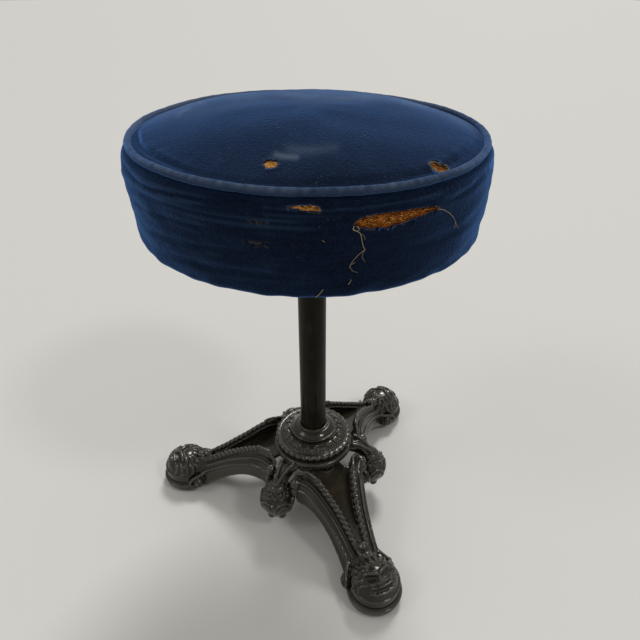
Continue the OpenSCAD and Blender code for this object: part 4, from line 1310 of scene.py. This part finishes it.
def fill_tear(surface, outline, count, thick, frayed, tangled, shade_range, hair_range, shaded_rim):
    """Fibre strands inside a tear, painted darker as shade within a given width of its edge, and
    edge hairs.
    """
    corners = np.array(outline, float)
    low, high = corners.min(0), corners.max(0)
    middle = corners.mean(0)
    spread = np.linalg.svd(corners - middle)[2][0]
    strands, shades = [], []
    while len(strands) < count:
        centre = pick.uniform(low, high)
        if not inside(centre[None], outline)[0]:
            continue
        curled = pick.random() < tangled
        lean = pick.uniform(0, math.pi) if curled else pick.normal(0, 0.22)
        way = np.array((spread[0] * math.cos(lean) - spread[1] * math.sin(lean),
                        spread[0] * math.sin(lean) + spread[1] * math.cos(lean)))
        reach = pick.uniform(*CURLED_PX) if curled else pick.uniform(*STRAIGHT_PX)
        path = []
        for t in (-1, -0.4, 0.3, 1):
            hit = found(surface, centre + way * reach * t + pick.normal(0, 0.25, 2))
            if hit is None:
                break
            depth = FIBRE_DEPTH - FIBRE_ARCH * (1 - t * t) * pick.uniform(0.5, 1.1)
            path.append(hit[0] - hit[1] * depth * MM)
        if len(path) == 4:
            strands.append(strand(path, thick * pick.uniform(0.5, 1.2)))
            # Strands near the edge are painted darker, as the shade under the torn lip
            from_edge = pixel_distance(centre, outline, closed=True)[0]
            shades.append(pick.uniform(*shade_range) * (0.25 + 0.75 * fade(from_edge, 0.2, shaded_rim)))
    hairs, hair_shades = [], []
    edge = smooth_path(np.vstack([corners, corners[:1]]), 8)
    while len(hairs) < frayed:
        p = edge[pick.integers(len(edge))]
        inwards = (middle - p) / max(np.linalg.norm(middle - p), 1e-6)
        path = []
        bend = pick.normal(0, 0.8, 2)
        for t in (-0.4, 0.3, 1.0):
            hit = found(surface, p + inwards * t * HAIR_PX + bend * t)
            if hit is None:
                break
            path.append(hit[0] + hit[1] * (0.1 + 0.4 * t * pick.uniform(0, 1)) * MM)
        if len(path) == 3:
            hairs.append(strand(path, HAIR_R, 3))
            hair_shades.append(pick.uniform(*hair_range))
    return strands, shades, hairs, hair_shades


def with_shades(name, solids, shades):
    """One piece of many strands, each with its own shade."""
    piece = new_piece(name, *joined(solids))
    mark_points(piece, "shade", np.concatenate([np.full(len(points), s)
                                                for (points, _), s in zip(solids, shades)]))
    return piece


side_surface, top_surface = surface_of(side_whole), surface_of(top_whole)
# Surface, outline, strands, their thickness, hairs, share of curled strands, the shades of strands
# and of hairs, and the width of the painted shade along the edge in pixels
TEAR_FILL = [
    (side_surface, side_tears["long_tear"], 620, 0.34 * MM, 50, 0.45, (0.1, 1.0), (0.0, 0.5), 4.5),
    (side_surface, side_tears["slit"], 120, 0.32 * MM, 20, 0.0, (0.7, 1.25), (0.0, 0.4), 2.2),
    (top_surface, top_holes["round_hole"], 150, 0.30 * MM, 14, 0.7, (0.8, 1.15), (0.0, 0.3), 1.6),
    (top_surface, top_holes["frayed_hole"], 90, 0.28 * MM, 130, 0.5, (0.3, 1.0), (0.2, 1.0), 1.2),
]
strands, strand_shades, hairs, hair_shades = (
    sum(kind, []) for kind in zip(*[fill_tear(*job) for job in TEAR_FILL]))
loose_fibre = with_shades("tear_fibres", strands, strand_shades)
dress(loose_fibre, fibre, "seat", "padding_fibre")

# Backing threads of the velvet, pale and waxy: two hang from the ends of the long tear, frayed
# hairs edge each tear, and bits of lint cling to the side.
THREAD_SOILED, THREAD_PALE = (0.06, 0.045, 0.025, 1), (0.38, 0.295, 0.17, 1)
THREAD_SHADE, THREAD_OFF, THREAD_SHARE = 0.85, 0.25, 0.85
backing, tree, shader = new_material("backing_thread", Roughness=0.75)
spun = noise(object_place(tree), 2200.0, 2.0)
pale = 0.7 * stored(tree, "shade") + 0.3 * spun
wire(shader, Base_Color=mixed(pale, THREAD_SOILED, THREAD_PALE), Normal=bumped(0.5, 0.0003, spun))

# Way of each thread and its radius in millimetres
THREADS_PX = [
    ([(354, 226), (353, 229), (357, 231), (360, 233), (361.5, 239), (363, 246), (365, 249)], 0.42),
    ([(357, 226), (359, 229), (356, 231), (353.5, 228)], 0.40),
    ([(365, 249), (360, 253), (355, 258), (351, 263), (349, 268)], 0.26),
    ([(365, 249), (362, 256), (365, 262)], 0.20), ([(360, 233), (364, 236), (365, 240)], 0.20),
    ([(438, 208.5), (443, 209.5), (449, 213), (453, 217.5), (455, 222)], 0.38),
    ([(455, 222), (454, 228)], 0.28), ([(455, 222), (457.5, 228)], 0.28),
    ([(348, 284), (350, 282), (351, 279)], 0.38),
    ([(316, 296.5), (319, 294), (322, 290.5), (323, 289)], 0.38),
    ([(322, 240), (325, 242)], 0.25), ([(355, 262), (350, 266), (353, 271), (358, 272)], 0.18),
]
for path, radius in THREADS_PX:
    hits = [found(side_surface, p) for p in smooth_path(path, 4)]
    line = [hit[0] + hit[1] * (radius + THREAD_OFF) * MM for hit in hits if hit]
    if len(line) > 2:
        taper = np.linspace(1.0, 0.6, len(line))
        hairs.append(tube(line, THREAD_SHARE * radius * MM * taper, 6))
        hair_shades.append(THREAD_SHADE)
threads = with_shades("loose_threads", hairs, hair_shades)
dress(threads, backing, "seat", "velvet")

# Tacks: small domed iron tacks that hold the turned-in hem of the side band under the board.
# They stand evenly round it, 12 mm in from the lower edge of the velvet.
TACKS, TACK_MM, TACK_IN = 40, (4, 4, 1.3), 12 * MM
tack_ring = side_high.x * SIDE_SHARES[0][0] - TACK_IN
tacks = [lump((tack_ring * math.cos(a), tack_ring * math.sin(a), side_low.z - 0.2 * MM), TACK_MM,
              rows=6)
         for a in np.linspace(0, 2 * math.pi, TACKS, endpoint=False)]
tack_heads = new_piece("hem_tacks", *joined(tacks))
dress(tack_heads, dark_steel, "seat", "dark_steel")
